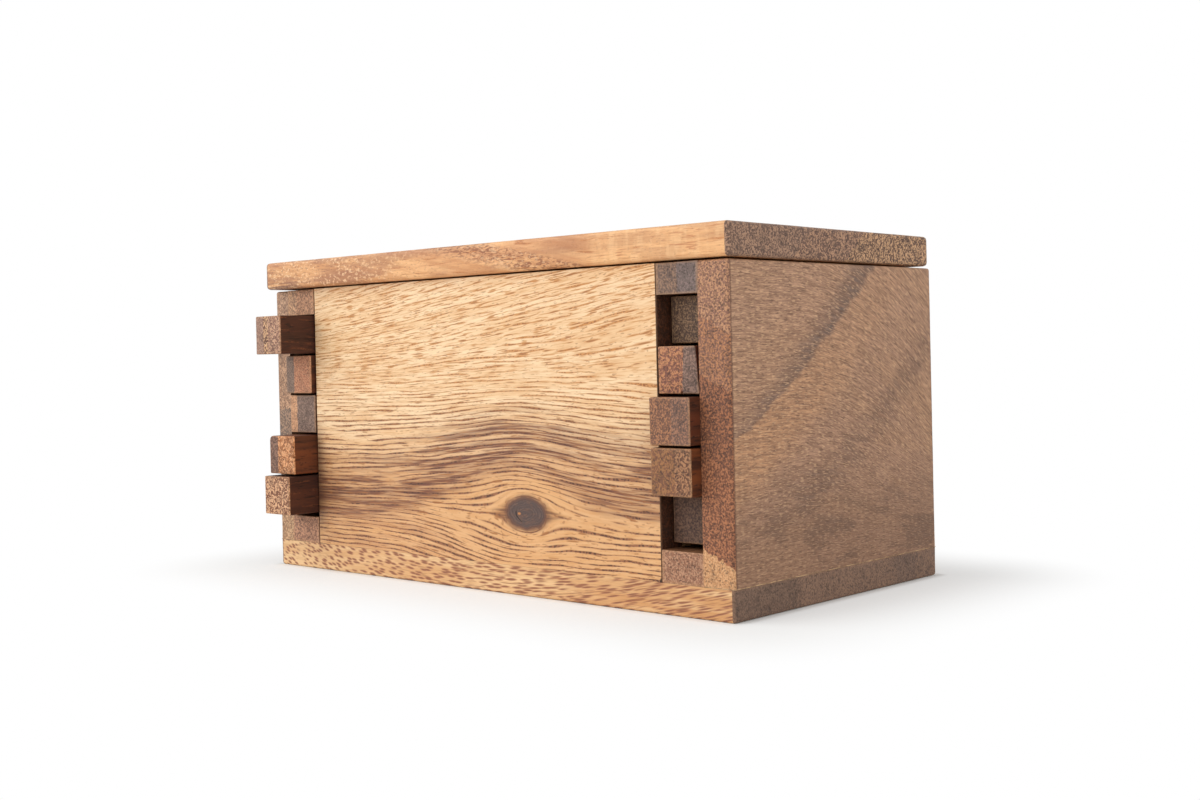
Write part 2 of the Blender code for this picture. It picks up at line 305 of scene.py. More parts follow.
def lay_grain_lines(finish, place, along, growth, spacing, run, fullness, line_colour, pore_colour):
    """Lay the thin lines that the pores lie in, with the pores as dark beads along them.

    Growth counts millimetres across the growth rings. Each line swells and tapers along its run, to
    about half a millimetre at most, and a higher fullness lets more of it show.
    """
    add, product = finish.add, finish.product
    bend = finish.noise(place, grain_size(along, 38.0, 9.0), Detail=3.0, Roughness=0.55)
    ring = add("Math.MULTIPLY", growth, 1 / spacing)
    ring = add("Math.MULTIPLY_ADD", bend, 3.0, ring)
    number = add("Math.ROUND", ring)
    offset = add("Math.ABSOLUTE", add("Math.SUBTRACT", ring, number))
    offset = add("Math.MULTIPLY", offset, spacing)
    # Each ring takes its swells from another place, so that no two lines are alike
    jump = add("VectorMath.SCALE", {"Vector": (3.1, 5.7, 2.3), "Scale": number})
    where = add("VectorMath.DIVIDE", place, grain_size(along, run, 2.2))
    where = add("VectorMath.ADD", where, jump)
    swell = add("TexNoise", {"Vector": where, "Scale": 1.0, "Detail": 1.5})
    swell = add("Math.MULTIPLY_ADD", fullness, 0.333, swell)
    half_width = add("MapRange", swell, 0.6, 0.92, 0.0, 0.26)
    inside = add("Math.SUBTRACT", half_width, offset)
    shown = add("MapRange", swell, 0.6, 0.68)
    line = product(add("MapRange", inside, -0.13, 0.1), shown)
    finish.lay(line_colour, 0.9, line)
    bead = product(finish.spots(grain_size(along, 0.8, 0.4), 0.45, 0.58, 1.0, place), shown)
    core = product(add("MapRange", inside, -0.02, 0.1), bead)
    finish.lay(pore_colour, 0.85, core)
    finish.cut(line, 0.005)
    finish.cut(core, 0.01)


def lay_fibres(finish, place, along, colour, share):
    """Lay the faint fibres between the pores.

    Real fibres are a few hundredths of a millimetre wide, and are drawn coarser so that they show.
    """
    finish.lay(colour, share, finish.spots(grain_size(along, 5.0, 0.25), 0.35, 0.8, 2.0, place))


def distance_from(finish, place, along, pith):
    """Return the distance from a tree's pith, which runs along the grain."""
    add = finish.add
    arm = add("VectorMath.SUBTRACT", place, tuple(pith))
    arm = add("VectorMath.MULTIPLY", arm, grain_size(along, 0.0, 1.0))
    return add("VectorMath.LENGTH", arm)


def shifted(finish, shift):
    """Return the place moved to another part of the tree, so that like boards differ."""
    return finish.add("VectorMath.ADD", finish.place, (shift, 0.6 * shift, 0.3 * shift))


def long_grain(name, wood, along):
    """Make a board's planed, sanded and oiled long grain.

    The eye sees broad tones, darker streaks along the grain, fine lines of pores and short dashes.
    """
    finish = Finish(name, wood.light)
    spots, lay = finish.spots, finish.lay
    place = shifted(finish, wood.shift)
    lay(wood.deep, 1.0, spots(grain_size(along, 60.0, 8.0), 0.38, 0.64, 3.0, place))
    edge = 0.66 - 0.3 * wood.streak_share
    streak = spots(grain_size(along, 70.0, wood.streak_width), edge - 0.1, edge + 0.1, 4.0, place)
    lay(wood.streak, 0.75, streak)
    lay_fibres(finish, place, along, wood.line, 0.25)
    growth = distance_from(finish, finish.place, along, wood.pith)
    lay_grain_lines(finish, place, along, growth, wood.spacing, wood.run, wood.fullness, wood.line,
                    wood.pore)
    edge = 0.72 - 0.22 * wood.dash_share
    dash = spots(grain_size(along, wood.dash, 0.5), edge - 0.05, edge + 0.06, 1.0, place)
    lay(wood.pore, 0.6, dash)
    finish.cut(dash, 0.03)
    return finish.done()


@dataclass
class EndLook:
    """Colours of one end grain, in bands along an axis, and its pattern sizes in millimetres.

    A band is where it starts, from nought to one along the axis, with its ground, its flecks, and how
    much the flecks cover. Tilt and ragged are how far the bands lean and waver, and maze is how far
    the flecks join to worms. Wear is how much of the edge's colour shows: a worn tone on the rounded
    edges, with a painted highlight.
    """

    bands: tuple
    fleck: float = 0.5
    maze: float = 0.25
    tilt: float = 0.0
    ragged: float = 0.5
    axis: int = 0
    shift: float = 0.0
    edge: str = "#C4966C"
    wear_and_highlight: float = 0.3


def end_grain(name, look, low, high):
    """Make a sawn, sanded and oiled end grain.

    Pale soft tissue stands round the pores as flecks and worms, with dark pores between. The real
    flecks are a third of a millimetre across, and are drawn a little coarser so that they show.
    """
    finish = Finish(name, "#000000", 0.58)
    add = finish.add
    parts = add("SeparateXYZ", finish.place)
    up_axis = 2 if look.axis < 2 else 0
    lean = look.tilt * (low[up_axis] + high[up_axis]) / 2 / MM + look.ragged
    waver = add("TexNoise", {"Vector": finish.place, "Scale": 0.7, "Detail": 3.0})
    spot = add("Math.MULTIPLY_ADD", waver, 2 * look.ragged, parts.outputs[look.axis])
    spot = add("Math.MULTIPLY_ADD", parts.outputs[up_axis], look.tilt, spot)
    spot = add("MapRange", spot, low[look.axis] / MM + lean, high[look.axis] / MM + lean)
    starts, grounds, pales, shares = zip(*look.bands)
    greys = [(share, share, share, 1.0) for share in shares]
    ramps = []
    for shades in ([linear(ground) for ground in grounds], [linear(pale) for pale in pales], greys):
        # A new ramp has two stops, and a lone band fills both
        stops = tuple(zip(starts, shades)) if len(starts) > 1 else ((0.0, shades[0]), (1.0, shades[0]))
        ramp = add("ValToRGB", spot, stops=stops)
        ramp.color_ramp.interpolation = "CONSTANT"
        ramps.append(ramp)
    ground, pale, share = ramps
    place = shifted(finish, look.shift)
    fleck = finish.noise(place, (look.fleck,) * 3, Detail=1.0, Distortion=0.3)
    worm = finish.noise(place, (1.5, 1.5, 1.5), Detail=1.0, Distortion=0.8)
    worm = add("Math.PINGPONG", add("Math.MULTIPLY", worm, 4.0), 0.5)
    worm = add("Math.MULTIPLY", worm, 2.0)
    fleck = add("Mix.FLOAT", look.maze, fleck, worm)
    fleck = add("Math.MULTIPLY_ADD", share, 0.3, fleck)
    mask = add("MapRange.SMOOTHSTEP", fleck, 0.56, 0.76)
    finish.colour = add("Mix.RGBA", mask, ground, pale)
    finish.lay("#3E2E28", 0.3, finish.spots((3.0, 3.0, 3.0), 0.5, 0.75, 2.0, place))
    pore = finish.spots((0.42, 0.42, 0.42), 0.6, 0.68, 0.0, shifted(finish, look.shift + 40.0))
    finish.lay("#33261F", 0.5, pore)
    # The rounded edges get a lighter line: sanding wear, with a painted highlight
    lay_edge_wear_and_highlight(finish, low, high, look)
    finish.cut(mask, -0.02)
    finish.cut(pore, 0.04)
    return finish.done()


def lay_edge_wear_and_highlight(finish, low, high, look):
    """Lay the lighter line on the rounded edges of an end: wear from sanding, with a painted highlight.
    """
    add = finish.add
    parts = add("SeparateXYZ", finish.place)
    worn_and_highlit = None
    for axis in {look.axis, 2}:
        middle, half = (low[axis] + high[axis]) / 2 / MM, (high[axis] - low[axis]) / 2 / MM
        reach = add("Math.ABSOLUTE", add("Math.SUBTRACT", parts.outputs[axis], middle))
        near = add("MapRange", reach, half - 0.55, half - 0.15)
        worn_and_highlit = near if worn_and_highlit is None else add("Math.MAXIMUM", worn_and_highlit, near)
    finish.lay(look.edge, look.wear_and_highlight, worn_and_highlit)


# The place of the front panel's knot, and how much wider than high it is
KNOT_PLACE = (18.4, FRONT_FACE, 19.7)
KNOT_FLATNESS = 1.75


def front_grain(finish):
    """Bend the front panel's grain, and return what its patterns are drawn by.

    That is the place in the bent grain, the place along the panel, the level of the grain line, and
    the place from the knot's middle.
    """
    add, product = finish.add, finish.product
    x, y, z = add("SeparateXYZ", finish.place).outputs
    # It rises to the right near the top, arches over the knot, dips under it and parts round it
    rise = add("Math.MULTIPLY", x, add("MapRange.SMOOTHSTEP", z, 44.0, 68.0, 0.0, 0.13))
    bell = add("Math.MULTIPLY", add("Math.SUBTRACT", x, 17.0), 1 / 26.0)
    bell = add("Math.MULTIPLY_ADD", bell, bell, 1.0)
    over = product(add("MapRange.SMOOTHSTEP", z, 11.0, 33.0, 0.0, 4.4),
                   add("MapRange.SMOOTHSTEP", z, 38.0, 60.0, 1.0, 0.0))
    over = add("Math.DIVIDE", over, bell)
    dip = product(add("MapRange.SMOOTHSTEP", x, -35.0, 15.0, 0.0, -5.6),
                  add("MapRange.SMOOTHSTEP", z, 5.0, 27.0, 1.0, 0.0))
    knot = add("VectorMath.SUBTRACT", finish.place, KNOT_PLACE)
    knot = add("VectorMath.MULTIPLY", knot, (1.0, 0.0, KNOT_FLATNESS))
    reach = add("VectorMath.DOT_PRODUCT", knot, knot)
    part = add("Math.MINIMUM", add("Math.DIVIDE", 23.0, reach), 0.9)
    round_knot = add("Math.MULTIPLY", add("Math.SUBTRACT", z, KNOT_PLACE[2]), part)
    level = z
    for part in (rise, over, dip, round_knot):
        level = add("Math.SUBTRACT", level, part)
    return add("CombineXYZ", x, y, level), x, level, knot


def lay_knot(finish, knot, colours):
    """Lay the knot over the grain: a grey heart with faint rings, a crack and streaked tails."""
    add, product, spots, lay = finish.add, finish.product, finish.spots, finish.lay
    waver = add("TexNoise", {"Vector": finish.place, "Scale": 0.35, "Detail": 4.0})
    distance = add("VectorMath.LENGTH", knot)
    distance = add("Math.MULTIPLY_ADD", waver, 2.4, distance)
    x, _, z = add("SeparateXYZ", knot).outputs
    tail = add("Math.MULTIPLY", add("Math.ABSOLUTE", x), 0.075)
    tail = add("Math.MULTIPLY_ADD", add("Math.ABSOLUTE", z), 0.13, tail)
    tail = add("MapRange.SMOOTHSTEP", tail, 1.1, 0.7)
    lay("#BC824C", 0.45, tail)
    streak = spots((9.0, 9.0, 0.5), 0.38, 0.6, 2.0)
    lay("#6E4A38", 0.75, tail, streak)
    rim = add("MapRange.SMOOTHSTEP", distance, 10.3, 7.1)
    lay(colours.knot_rim, 0.95, rim)
    heart = add("MapRange.SMOOTHSTEP", distance, 8.2, 6.2)
    lay(colours.knot_heart, 1.0, heart)
    lay("#7A5644", 0.4, heart, spots((1.5, 1.5, 0.8), 0.48, 0.66, 3.0))
    wave = add("Math.MULTIPLY_ADD", waver, 9.0, add("Math.MULTIPLY", distance, 7.0))
    wave = add("Math.SINE", wave)
    ring = product(add("MapRange", wave, -0.2, 1.0), rim)
    lay("#3E302C", 0.3, ring)
    lay("#84695C", 0.3, add("MapRange", wave, -0.2, -1.0), spots((1.6, 1.6, 1.0), 0.44, 0.6), heart)
    crack = add("Math.ABSOLUTE", add("Math.SUBTRACT", distance, 4.9))
    crack = product(add("MapRange", crack, 0.3, 0.1), add("MapRange", x, -0.8, -1.6),
                    add("MapRange", z, 1.0, 0.3))
    lay("#241C1A", 0.9, crack)
    speck = add("VectorMath.LENGTH", add("VectorMath.SUBTRACT", knot, (-2.3, 0.0, -0.2)))
    lay("#D08A50", 0.8, add("MapRange", speck, 0.7, 0.3))
    finish.cut(ring, 0.02)
    finish.cut(crack, 0.12)


def front_panel_finish(colours):
    """Make the front panel's planed and oiled golden long grain, with its haze and its knot.

    The eye sees pale gold with fine broken lines of pores, which darken and lengthen downwards, flow
    over a knot and carry bands of purplish-brown haze.
    """
    finish = Finish("planed_acacia_front", colours.panel_light, 0.48)
    add, product, spots, lay = finish.add, finish.product, finish.spots, finish.lay
    place, x, level, knot = front_grain(finish)
    upper = add("MapRange.SMOOTHSTEP", level, 40.0, 60.0)
    lower = add("MapRange.SMOOTHSTEP", level, 44.0, 22.0)
    lay(colours.panel_deep, 0.68, spots((30.0, 2.4, 2.4), 0.35, 0.65, 3.0, place))
    lay(colours.panel_low, 0.75, lower)
    # The upper part deepens towards the right: painted shade, where the light falls off across the panel
    lay(colours.panel_low, 0.22, upper, add("MapRange", x, 0.0, 60.0))
    # The haze climbs across the grain to the right, and falls a little beyond the knot
    centre = add("MapRange.SMOOTHSTEP", x, -50.0, 12.0, 19.8, 29.5)
    centre = add("Math.SUBTRACT", centre, add("MapRange.SMOOTHSTEP", x, 20.0, 44.0, 0.0, 3.4))
    off = add("Math.SUBTRACT", level, centre)
    veil = product(add("MapRange.SMOOTHSTEP", off, -7.0, -2.5),
                   add("MapRange.SMOOTHSTEP", off, 3.5, 15.0, 1.0, 0.0))
    thin = add("Math.MULTIPLY_ADD", spots((14.0, 0.46, 0.46), 0.44, 0.56, 2.0, place), 0.65, 0.35)
    wisp = product(spots((26.0, 1.5, 1.5), 0.39, 0.53, 3.0, place), thin)
    zone = product(veil, wisp)
    lay("#A88474", 0.15, veil)
    lay(colours.panel_streak, 0.97, zone)
    # It is thickest where it leaves the panel at the left
    thick = product(add("MapRange.SMOOTHSTEP", off, -6.5, -0.5),
                    add("MapRange.SMOOTHSTEP", off, 6.0, 1.0),
                    add("MapRange.SMOOTHSTEP", x, -22.0, -56.0),
                    add("Math.MULTIPLY_ADD", wisp, 0.6, 0.4))
    lay("#684438", 0.8, thick)
    foot = product(add("MapRange", level, 21.0, 15.0), add("MapRange", x, 5.0, -20.0), wisp)
    lay("#A06A52", 0.35, foot)
    lay_fibres(finish, place, 0, colours.line_soft, 0.5)
    near = add("VectorMath.LENGTH", knot)
    fullness = product(add("MapRange", upper, 0.0, 1.0, 0.78, 0.45),
                       add("MapRange", near, 7.0, 12.0, 0.7, 1.0))
    # The lines crowd low on the panel, and darken downwards and in the haze
    spread = add("MapRange.SMOOTHSTEP", level, 13.0, 26.0, 0.0, 5.0)
    growth = add("Math.ADD", level, spread)
    deep = add("Math.MAXIMUM", add("MapRange.SMOOTHSTEP", level, 51.0, 32.0), zone)
    line = add("Mix.RGBA", deep, as_colour(colours.line_soft), as_colour(colours.line_dark))
    line = add("Mix.RGBA", zone, line, linear("#6A4434"))
    pore = add("Mix.RGBA", deep, linear("#965C34"), as_colour(colours.pore_dark))
    lay_grain_lines(finish, place, 0, growth, 1.2, 9.0, fullness, line, pore)
    dash = spots((5.5, 0.42, 0.42), 0.555, 0.625, 1.0, place)
    lay(colours.line_soft, 0.8, dash, upper)
    lay("#A56C3E", 0.8, spots((5.5, 0.42, 0.42), 0.65, 0.7, 1.0, place))
    fine = spots((1.6, 0.34, 0.34), 0.63, 0.7, 1.0, place)
    lay("#9A6038", 0.5, fine)
    finish.cut(dash, 0.006)
    finish.cut(fine, 0.004)
    lay_knot(finish, knot, colours)
    # Last comes the dark patch at the panel's left edge: partly a dark stain, partly the painted shadow
    # that the keys cast
    z = add("SeparateXYZ", finish.place).outputs["Z"]
    stain_and_shadow = product(add("MapRange.SMOOTHSTEP", x, -57.0, -62.4),
                    add("MapRange.SMOOTHSTEP", z, 44.0, 32.0), add("MapRange", z, 10.0, 16.0))
    lay("#5E4032", 0.6, stain_and_shadow)
    # Then a dark spot at the lower right corner: the painted shade of a small chip
    chip_shade = add("VectorMath.LENGTH", add("VectorMath.SUBTRACT", finish.place, (60.3, FRONT_FACE, 7.3)))
    lay("#2C1E16", 0.9, add("MapRange", chip_shade, 0.9, 0.6))
    return finish.done()


def side_panel_finish(name, colours, shift):
    """Make a side panel's planed and oiled brown long grain.

    The eye sees fine dark and light dashes on mid brown, and a grey heartwood band that climbs
    steeply from front to back, sharp below and fading above.
    """
    finish = Finish(name, colours.side_mid, 0.55)
    add, product, spots, lay = finish.add, finish.product, finish.spots, finish.lay
    x, y, z = add("SeparateXYZ", finish.place).outputs
    # Depth counts from the front, and the grain sags towards the back
    depth = add("Math.ADD", y, -FRONT_FACE)
    late = add("Math.MAXIMUM", add("Math.SUBTRACT", depth, 20.0), 0.0)
    sag = product(late, late, 0.006, add("MapRange.SMOOTHSTEP", z, 4.0, 34.0))
    level = add("Math.ADD", z, sag)
    place = add("CombineXYZ", add("Math.ADD", x, shift), add("Math.ADD", y, shift), level)
    low = add("MapRange.SMOOTHSTEP", z, 34.0, 14.0)
    lay(colours.side_light, 0.85, spots((50.0, 26.0, 9.0), 0.42, 0.62, 3.0, place))
    lay(colours.side_deep, 0.6, low)
    # The edge is the height over the heartwood band's lower rim, with warm wood under it
    waver = spots((9.0, 9.0, 4.0), 0.3, 0.7, 3.0)
    edge = add("Math.MULTIPLY", add("Math.MULTIPLY_ADD", depth, 0.0035, 0.48), depth)
    edge = add("Math.SUBTRACT", add("Math.SUBTRACT", z, edge), 37.5)
    edge = add("Math.MULTIPLY_ADD", waver, 1.6, edge)
    warm = product(add("MapRange.SMOOTHSTEP", edge, -18.0, -9.0),
                   add("MapRange.SMOOTHSTEP", edge, 1.5, 0.0),
                   add("MapRange", depth, 12.0, 60.0, 1.0, 0.5))
    lay("#D29C70", 0.72, warm)
    lay("#CCA080", 0.4, add("MapRange", z, 44.0, 64.0))
    # A second band climbs more and more steeply, and lies soft and mottled under the first
    ridge = add("Math.MULTIPLY_ADD", product(depth, depth), -0.0057, z)
    ridge = add("Math.MULTIPLY_ADD", waver, 4.0, ridge)
    ridge = add("Math.ABSOLUTE", add("Math.SUBTRACT", ridge, 23.5))
    ridge = product(add("MapRange.SMOOTHSTEP", ridge, 7.5, 0.5), add("MapRange", depth, 8.0, 26.0))
    mottle = add("Math.MULTIPLY_ADD", spots((3.0, 6.0, 1.1), 0.36, 0.6, 3.0, place), 0.7, 0.3)
    lay("#6A5348", 0.62, ridge, mottle)
    blot = spots((14.0, 15.0, 5.0), 0.48, 0.62, 3.0, place)
    lay("#6A5042", 0.7, blot, low)
    # The band itself starts sharp at its rim, fades upwards and widens towards the back
    edge = add("Math.DIVIDE", edge, add("MapRange", depth, 0.0, 80.0, 3.5, 15.0))
    band = product(add("MapRange.SMOOTHSTEP", edge, 0.0, 0.25),
                   add("MapRange.SMOOTHSTEP", edge, 0.15, 1.4, 1.0, 0.0),
                   add("MapRange", depth, -12.0, 28.0, 0.3, 1.0))
    lay(colours.side_streak, 1.0, band, add("Math.MULTIPLY_ADD", mottle, 0.6, 0.4))
    lay("#825E48", 0.55, spots((2.0, 7.0, 0.8), 0.36, 0.64, 3.0, place))
    lay_fibres(finish, place, 1, "#76563F", 0.6)
    line = spots((8.0, 9.0, 0.42), 0.53, 0.66, 2.0, place)
    lay("#6C4E42", 0.35, line, add("MapRange", z, 24.0, 46.0))
    dash = spots((0.5, 1.8, 0.28), 0.54, 0.66, 1.0, place)
    lay("#604436", 0.55, dash)
    pale = spots((0.5, 1.7, 0.28), 0.54, 0.66, 1.0, add("VectorMath.ADD", place, (7.0, 3.0, 5.0)))
    lay("#E8BC92", 0.42, pale, add("Math.MULTIPLY_ADD", low, -0.4, 1.0))
    # The sanded front edge shows as a dark line
    lay("#5C3A2A", 0.85, add("MapRange", depth, 1.3, 0.7))
    finish.cut(dash, 0.02)
    return finish.done()


def lid_finish(colours):
    """Make the lid's planed and oiled long grain.

    The eye sees reddish brown with pale flecks at the left, clearer gold at the right, and soft
    purple-brown patches.
    """
    finish = Finish("planed_acacia_lid", colours.lid_light, 0.45)
    add, product, spots, lay = finish.add, finish.product, finish.spots, finish.lay
    place = shifted(finish, 210.0)
    x, y, z = add("SeparateXYZ", finish.place).outputs
    left = add("MapRange.SMOOTHSTEP", x, 0.0, -50.0)
    right = add("MapRange.SMOOTHSTEP", x, 36.0, 50.0)
    front = add("MapRange.SMOOTHSTEP", y, -34.0, -41.0)
    deep = spots((34.0, 3.6, 3.6), 0.36, 0.62, 3.0, place)
    lay(colours.lid_deep, 1.0, deep, add("Math.MULTIPLY_ADD", right, -0.6, 0.85))
    lay(colours.lid_deep, 0.35, left)
    # The figure falls from the upper left to the lower right, five times as far as it is high
    fall = add("Math.MULTIPLY_ADD", add("Math.SUBTRACT", z, 80.7), 4.6, x)
    fall = add("Math.MULTIPLY_ADD", y, 0.5, fall)
    slant = add("CombineXYZ", add("Math.MULTIPLY", fall, 0.4), y, add("Math.MULTIPLY", z, 2.0))
    figure = product(spots((2.4, 8.0, 16.0), 0.4, 0.66, 3.0, slant), front)
    lay("#BC7846", 0.5, figure, add("Math.MULTIPLY_ADD", right, -0.8, 1.0))
    patch = spots((16.0, 2.6, 2.6), 0.46, 0.62, 4.0, place)
    lay(colours.lid_streak, 0.66, patch, add("Math.MULTIPLY_ADD", left, 0.6, 0.4))
    cloud = add("VectorMath.SUBTRACT", finish.place, (35.0, 0.0, 81.5))
    cloud = add("VectorMath.MULTIPLY", cloud, (1 / 9.0, 0.0, 1 / 3.0))
    cloud = add("MapRange.SMOOTHSTEP", add("VectorMath.LENGTH", cloud), 1.2, 0.2)
    lay(colours.lid_streak, 0.3, cloud)
    flame = product(spots((1.8, 9.0, 7.0), 0.46, 0.66, 3.0, place), front)
    lay("#FAD09C", 0.35, flame, right)
    thread = product(spots((4.0, 0.3, 0.3), 0.6, 0.68, 1.0, place), right)
    lay("#B4673C", 0.6, thread)
    foot = product(add("MapRange", z, 79.6, 78.2), add("MapRange", x, -52.0, -66.0))
    lay("#7A4E42", 0.8, foot, spots((12.0, 9.0, 0.9), 0.4, 0.56, 2.0, place))
    lay_fibres(finish, place, 0, "#B87C50", 0.4)
    growth = distance_from(finish, finish.place, 0, (0.0, 12.0, -20.0))
    lay_grain_lines(finish, place, 0, growth, 2.1, 7.0, 0.3, "#C6834F", "#A86A40")
    worms = product(add("MapRange.SMOOTHSTEP", fall, -26.0, -12.0),
                    add("MapRange.SMOOTHSTEP", fall, 6.0, 1.0), front)
    worm = spots((1.6, 0.6, 0.42), 0.45, 0.6, 1.0, None, 0.6)
    lay("#844C34", 0.75, worms, worm)
    fleck = spots((1.0, 0.7, 0.62), 0.52, 0.68, 1.0, place)
    share = add("Math.MULTIPLY_ADD", add("Math.MULTIPLY_ADD", worms, 0.5, left), 0.8, 0.08)
    cluster = product(spots((9.0, 9.0, 4.0), 0.34, 0.5), add("Math.MULTIPLY_ADD", front, 0.6, 0.4))
    lay("#F4CA9C", 0.85, fleck, share, cluster)
    speck = product(spots((0.9, 0.4, 0.36), 0.58, 0.7, 1.0, shifted(finish, 260.0)),
                    add("Math.MULTIPLY_ADD", left, 0.6, 0.4))
    lay("#8E5640", 0.55, speck)
    finish.cut(speck, 0.01)
    return finish.done()


def base_finish(colours):
    """Make the base's planed and oiled long grain.

    The eye sees pale gold with brown flecks, short ovals at the left that stretch to long dashes at
    the right.
    """
    finish = Finish("planed_acacia_base", colours.base_light, 0.52)
    add, product, spots, lay = finish.add, finish.product, finish.spots, finish.lay
    place = shifted(finish, 31.0)
    x, y, z = add("SeparateXYZ", finish.place).outputs
    lay(colours.base_deep, 0.8, spots((40.0, 4.0, 4.0), 0.36, 0.64, 3.0, place))
    right = add("MapRange.SMOOTHSTEP", x, 0.0, 70.0)
    lay("#D09660", 0.7, right, spots((20.0, 1.4, 1.4), 0.34, 0.6, 3.0, place))
    lay_fibres(finish, place, 0, "#B87E4E", 0.4)
    # The flecks stretch and flatten towards the right, and bend up a little at both ends
    run = add("Math.LOGARITHM", add("Math.MULTIPLY_ADD", x, 0.0125, 2.0), math.e)
    run = add("Math.MULTIPLY", run, 40.0)
    off = add("Math.SUBTRACT", x, 10.0)
    level = add("Math.MULTIPLY_ADD", add("Math.MULTIPLY", off, off), -0.0018, z)
    level = add("Math.MULTIPLY_ADD", y, 0.35, level)
    finer = add("Math.MULTIPLY", level, add("MapRange", x, -50.0, 60.0, 1.1, 1.6))
    where = add("CombineXYZ", add("Math.MULTIPLY", run, 0.92), finer)
    oval = add("TexVoronoi", {"Vector": where, "Scale": 1.0, "Randomness": 1.0}, voronoi_dimensions="2D")
    soft = add("MapRange.SMOOTHSTEP", oval, 0.5, 0.26)
    core = add("MapRange.SMOOTHSTEP", oval, 0.36, 0.14)
    here = spots((9.0, 1.6, 1.6), 0.32, 0.48, 2.0, place)
    lay("#B47A5A", 0.8, soft, here)
    lay("#84543E", 0.75, core, here)
    where = add("VectorMath.MULTIPLY", where, (0.6, 1.5, 1.0))
    dash = add("TexNoise", {"Vector": where, "Scale": 1.0, "Detail": 1.0})
    dash = product(add("MapRange.SMOOTHSTEP", dash, 0.56, 0.66),
                   add("MapRange", x, -45.0, 0.0, 0.15, 1.0))
    lay("#965F42", 0.75, dash)
    finish.cut(core, 0.015)
    return finish.done()


def select_edges(piece, test):
    """Go into edit mode with only the edges selected whose ends pass a test."""
    bpy.ops.object.mode_set(mode="EDIT")
    bpy.ops.mesh.select_mode(type="EDGE")
    bpy.ops.mesh.select_all(action="DESELECT")
    bpy.ops.object.mode_set(mode="OBJECT")
    points = piece.data.vertices
    for edge in piece.data.edges:
        edge.select = test(*(points[number].co for number in edge.vertices))
    bpy.ops.object.mode_set(mode="EDIT")


def make_active(piece):
    """Select one piece alone."""
    bpy.ops.object.select_all(action="DESELECT")
    piece.select_set(True)
    bpy.context.view_layer.objects.active = piece


def add_board(name, low, high):
    """Add a board between two corners, with its place in its mesh."""
    bpy.ops.object.select_all(action="DESELECT")
    low, high = Vector(low), Vector(high)
    bpy.ops.mesh.primitive_cube_add(size=1, location=(low + high) / 2, scale=high - low)
    board = bpy.context.object
    board.name = name
    board.data.name = name
    bpy.ops.object.transform_apply(location=True, rotation=True, scale=True)
    return board


def sides_of(point, low, high):
    """Return the sides of a box that a point lies on."""
    found = set()
    for side, (axis, sign) in SIDES.items():
        limit = high[axis] if sign > 0 else low[axis]
        if abs(point[axis] - limit) < SAME_PLACE:
            found.add(side)
    return found


def ease_edges(board, low, high, open_sides, radius):
    """Round the edges between two open sides, as sanding does."""
    def is_open(start, end):
        shared = sides_of(start, low, high) & sides_of(end, low, high)
        return len(shared) == 2 and shared.issubset(open_sides)

    select_edges(board, is_open)
    bpy.ops.mesh.bevel(offset=radius, segments=EDGE_SEGMENTS, affect="EDGES")
    bpy.ops.object.mode_set(mode="OBJECT")


def slice_board(board, low, high, cell):
    """Cut a board's faces into cells."""
    make_active(board)
    bpy.ops.object.mode_set(mode="EDIT")
    for axis in range(3):
        count = round((high[axis] - low[axis]) / cell)
        for number in range(1, count):
            cut = Vector(low)
            cut[axis] = low[axis] + (high[axis] - low[axis]) * number / count
            normal = [float(other == axis) for other in range(3)]
            bpy.ops.mesh.select_all(action="SELECT")
            bpy.ops.mesh.bisect(plane_co=cut, plane_no=normal)
    bpy.ops.object.mode_set(mode="OBJECT")


def apply_modifier(piece, modifier):
    """Apply one modifier of a piece."""
    make_active(piece)
    bpy.ops.object.modifier_apply(modifier=modifier.name)


def sand(board, low, high, open_sides, sizes):
    """Leave a board's open faces as uneven as hand sanding does, never proud of the solid."""
    closed = set(EVERY_SIDE) - set(open_sides)
    group = board.vertex_groups.new(name="open")
    free = [point.index for point in board.data.vertices if not sides_of(point.co, low, high) & closed]
    group.add(free, 1.0, "REPLACE")
    texture = bpy.data.textures.get("sanding") or bpy.data.textures.new("sanding", "CLOUDS")
    texture.noise_scale = SANDING_SCALE
    texture.noise_depth = 1
    modifier = board.modifiers.new("sanding", "DISPLACE")
    modifier.texture = texture
    modifier.texture_coords = "LOCAL"
    modifier.strength = sizes.unevenness
    modifier.mid_level = 1.0
    modifier.vertex_group = group.name
    apply_modifier(board, modifier)


def carve(piece, cutters):
    """Cut the cutters out of a piece, and remove them."""
    for cutter in cutters:
        modifier = piece.modifiers.new("carve", "BOOLEAN")
        modifier.operation = "DIFFERENCE"
        modifier.solver = "EXACT"
        modifier.object = cutter
        apply_modifier(piece, modifier)
        bpy.data.objects.remove(cutter, do_unlink=True)


def finish_piece(piece, body, nodes, materials, ends=None):
    """Shade a piece, give its faces their materials, tie it to its body and hide the solids of its nodes.
    """
    for material in materials:
        piece.data.materials.append(material)
    if ends is not None:
        for face in piece.data.polygons:
            # The rounded edges of an end show end grain too
            face.material_index = int(abs(face.normal[ends]) > END_TURN)
    make_active(piece)
    bpy.ops.object.shade_smooth_by_angle(angle=SHADE_ANGLE)
    weighted = piece.modifiers.new("weighted", "WEIGHTED_NORMAL")
    weighted.keep_sharp = True
    apply_modifier(piece, weighted)
    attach(piece, body)
    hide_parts(*nodes)


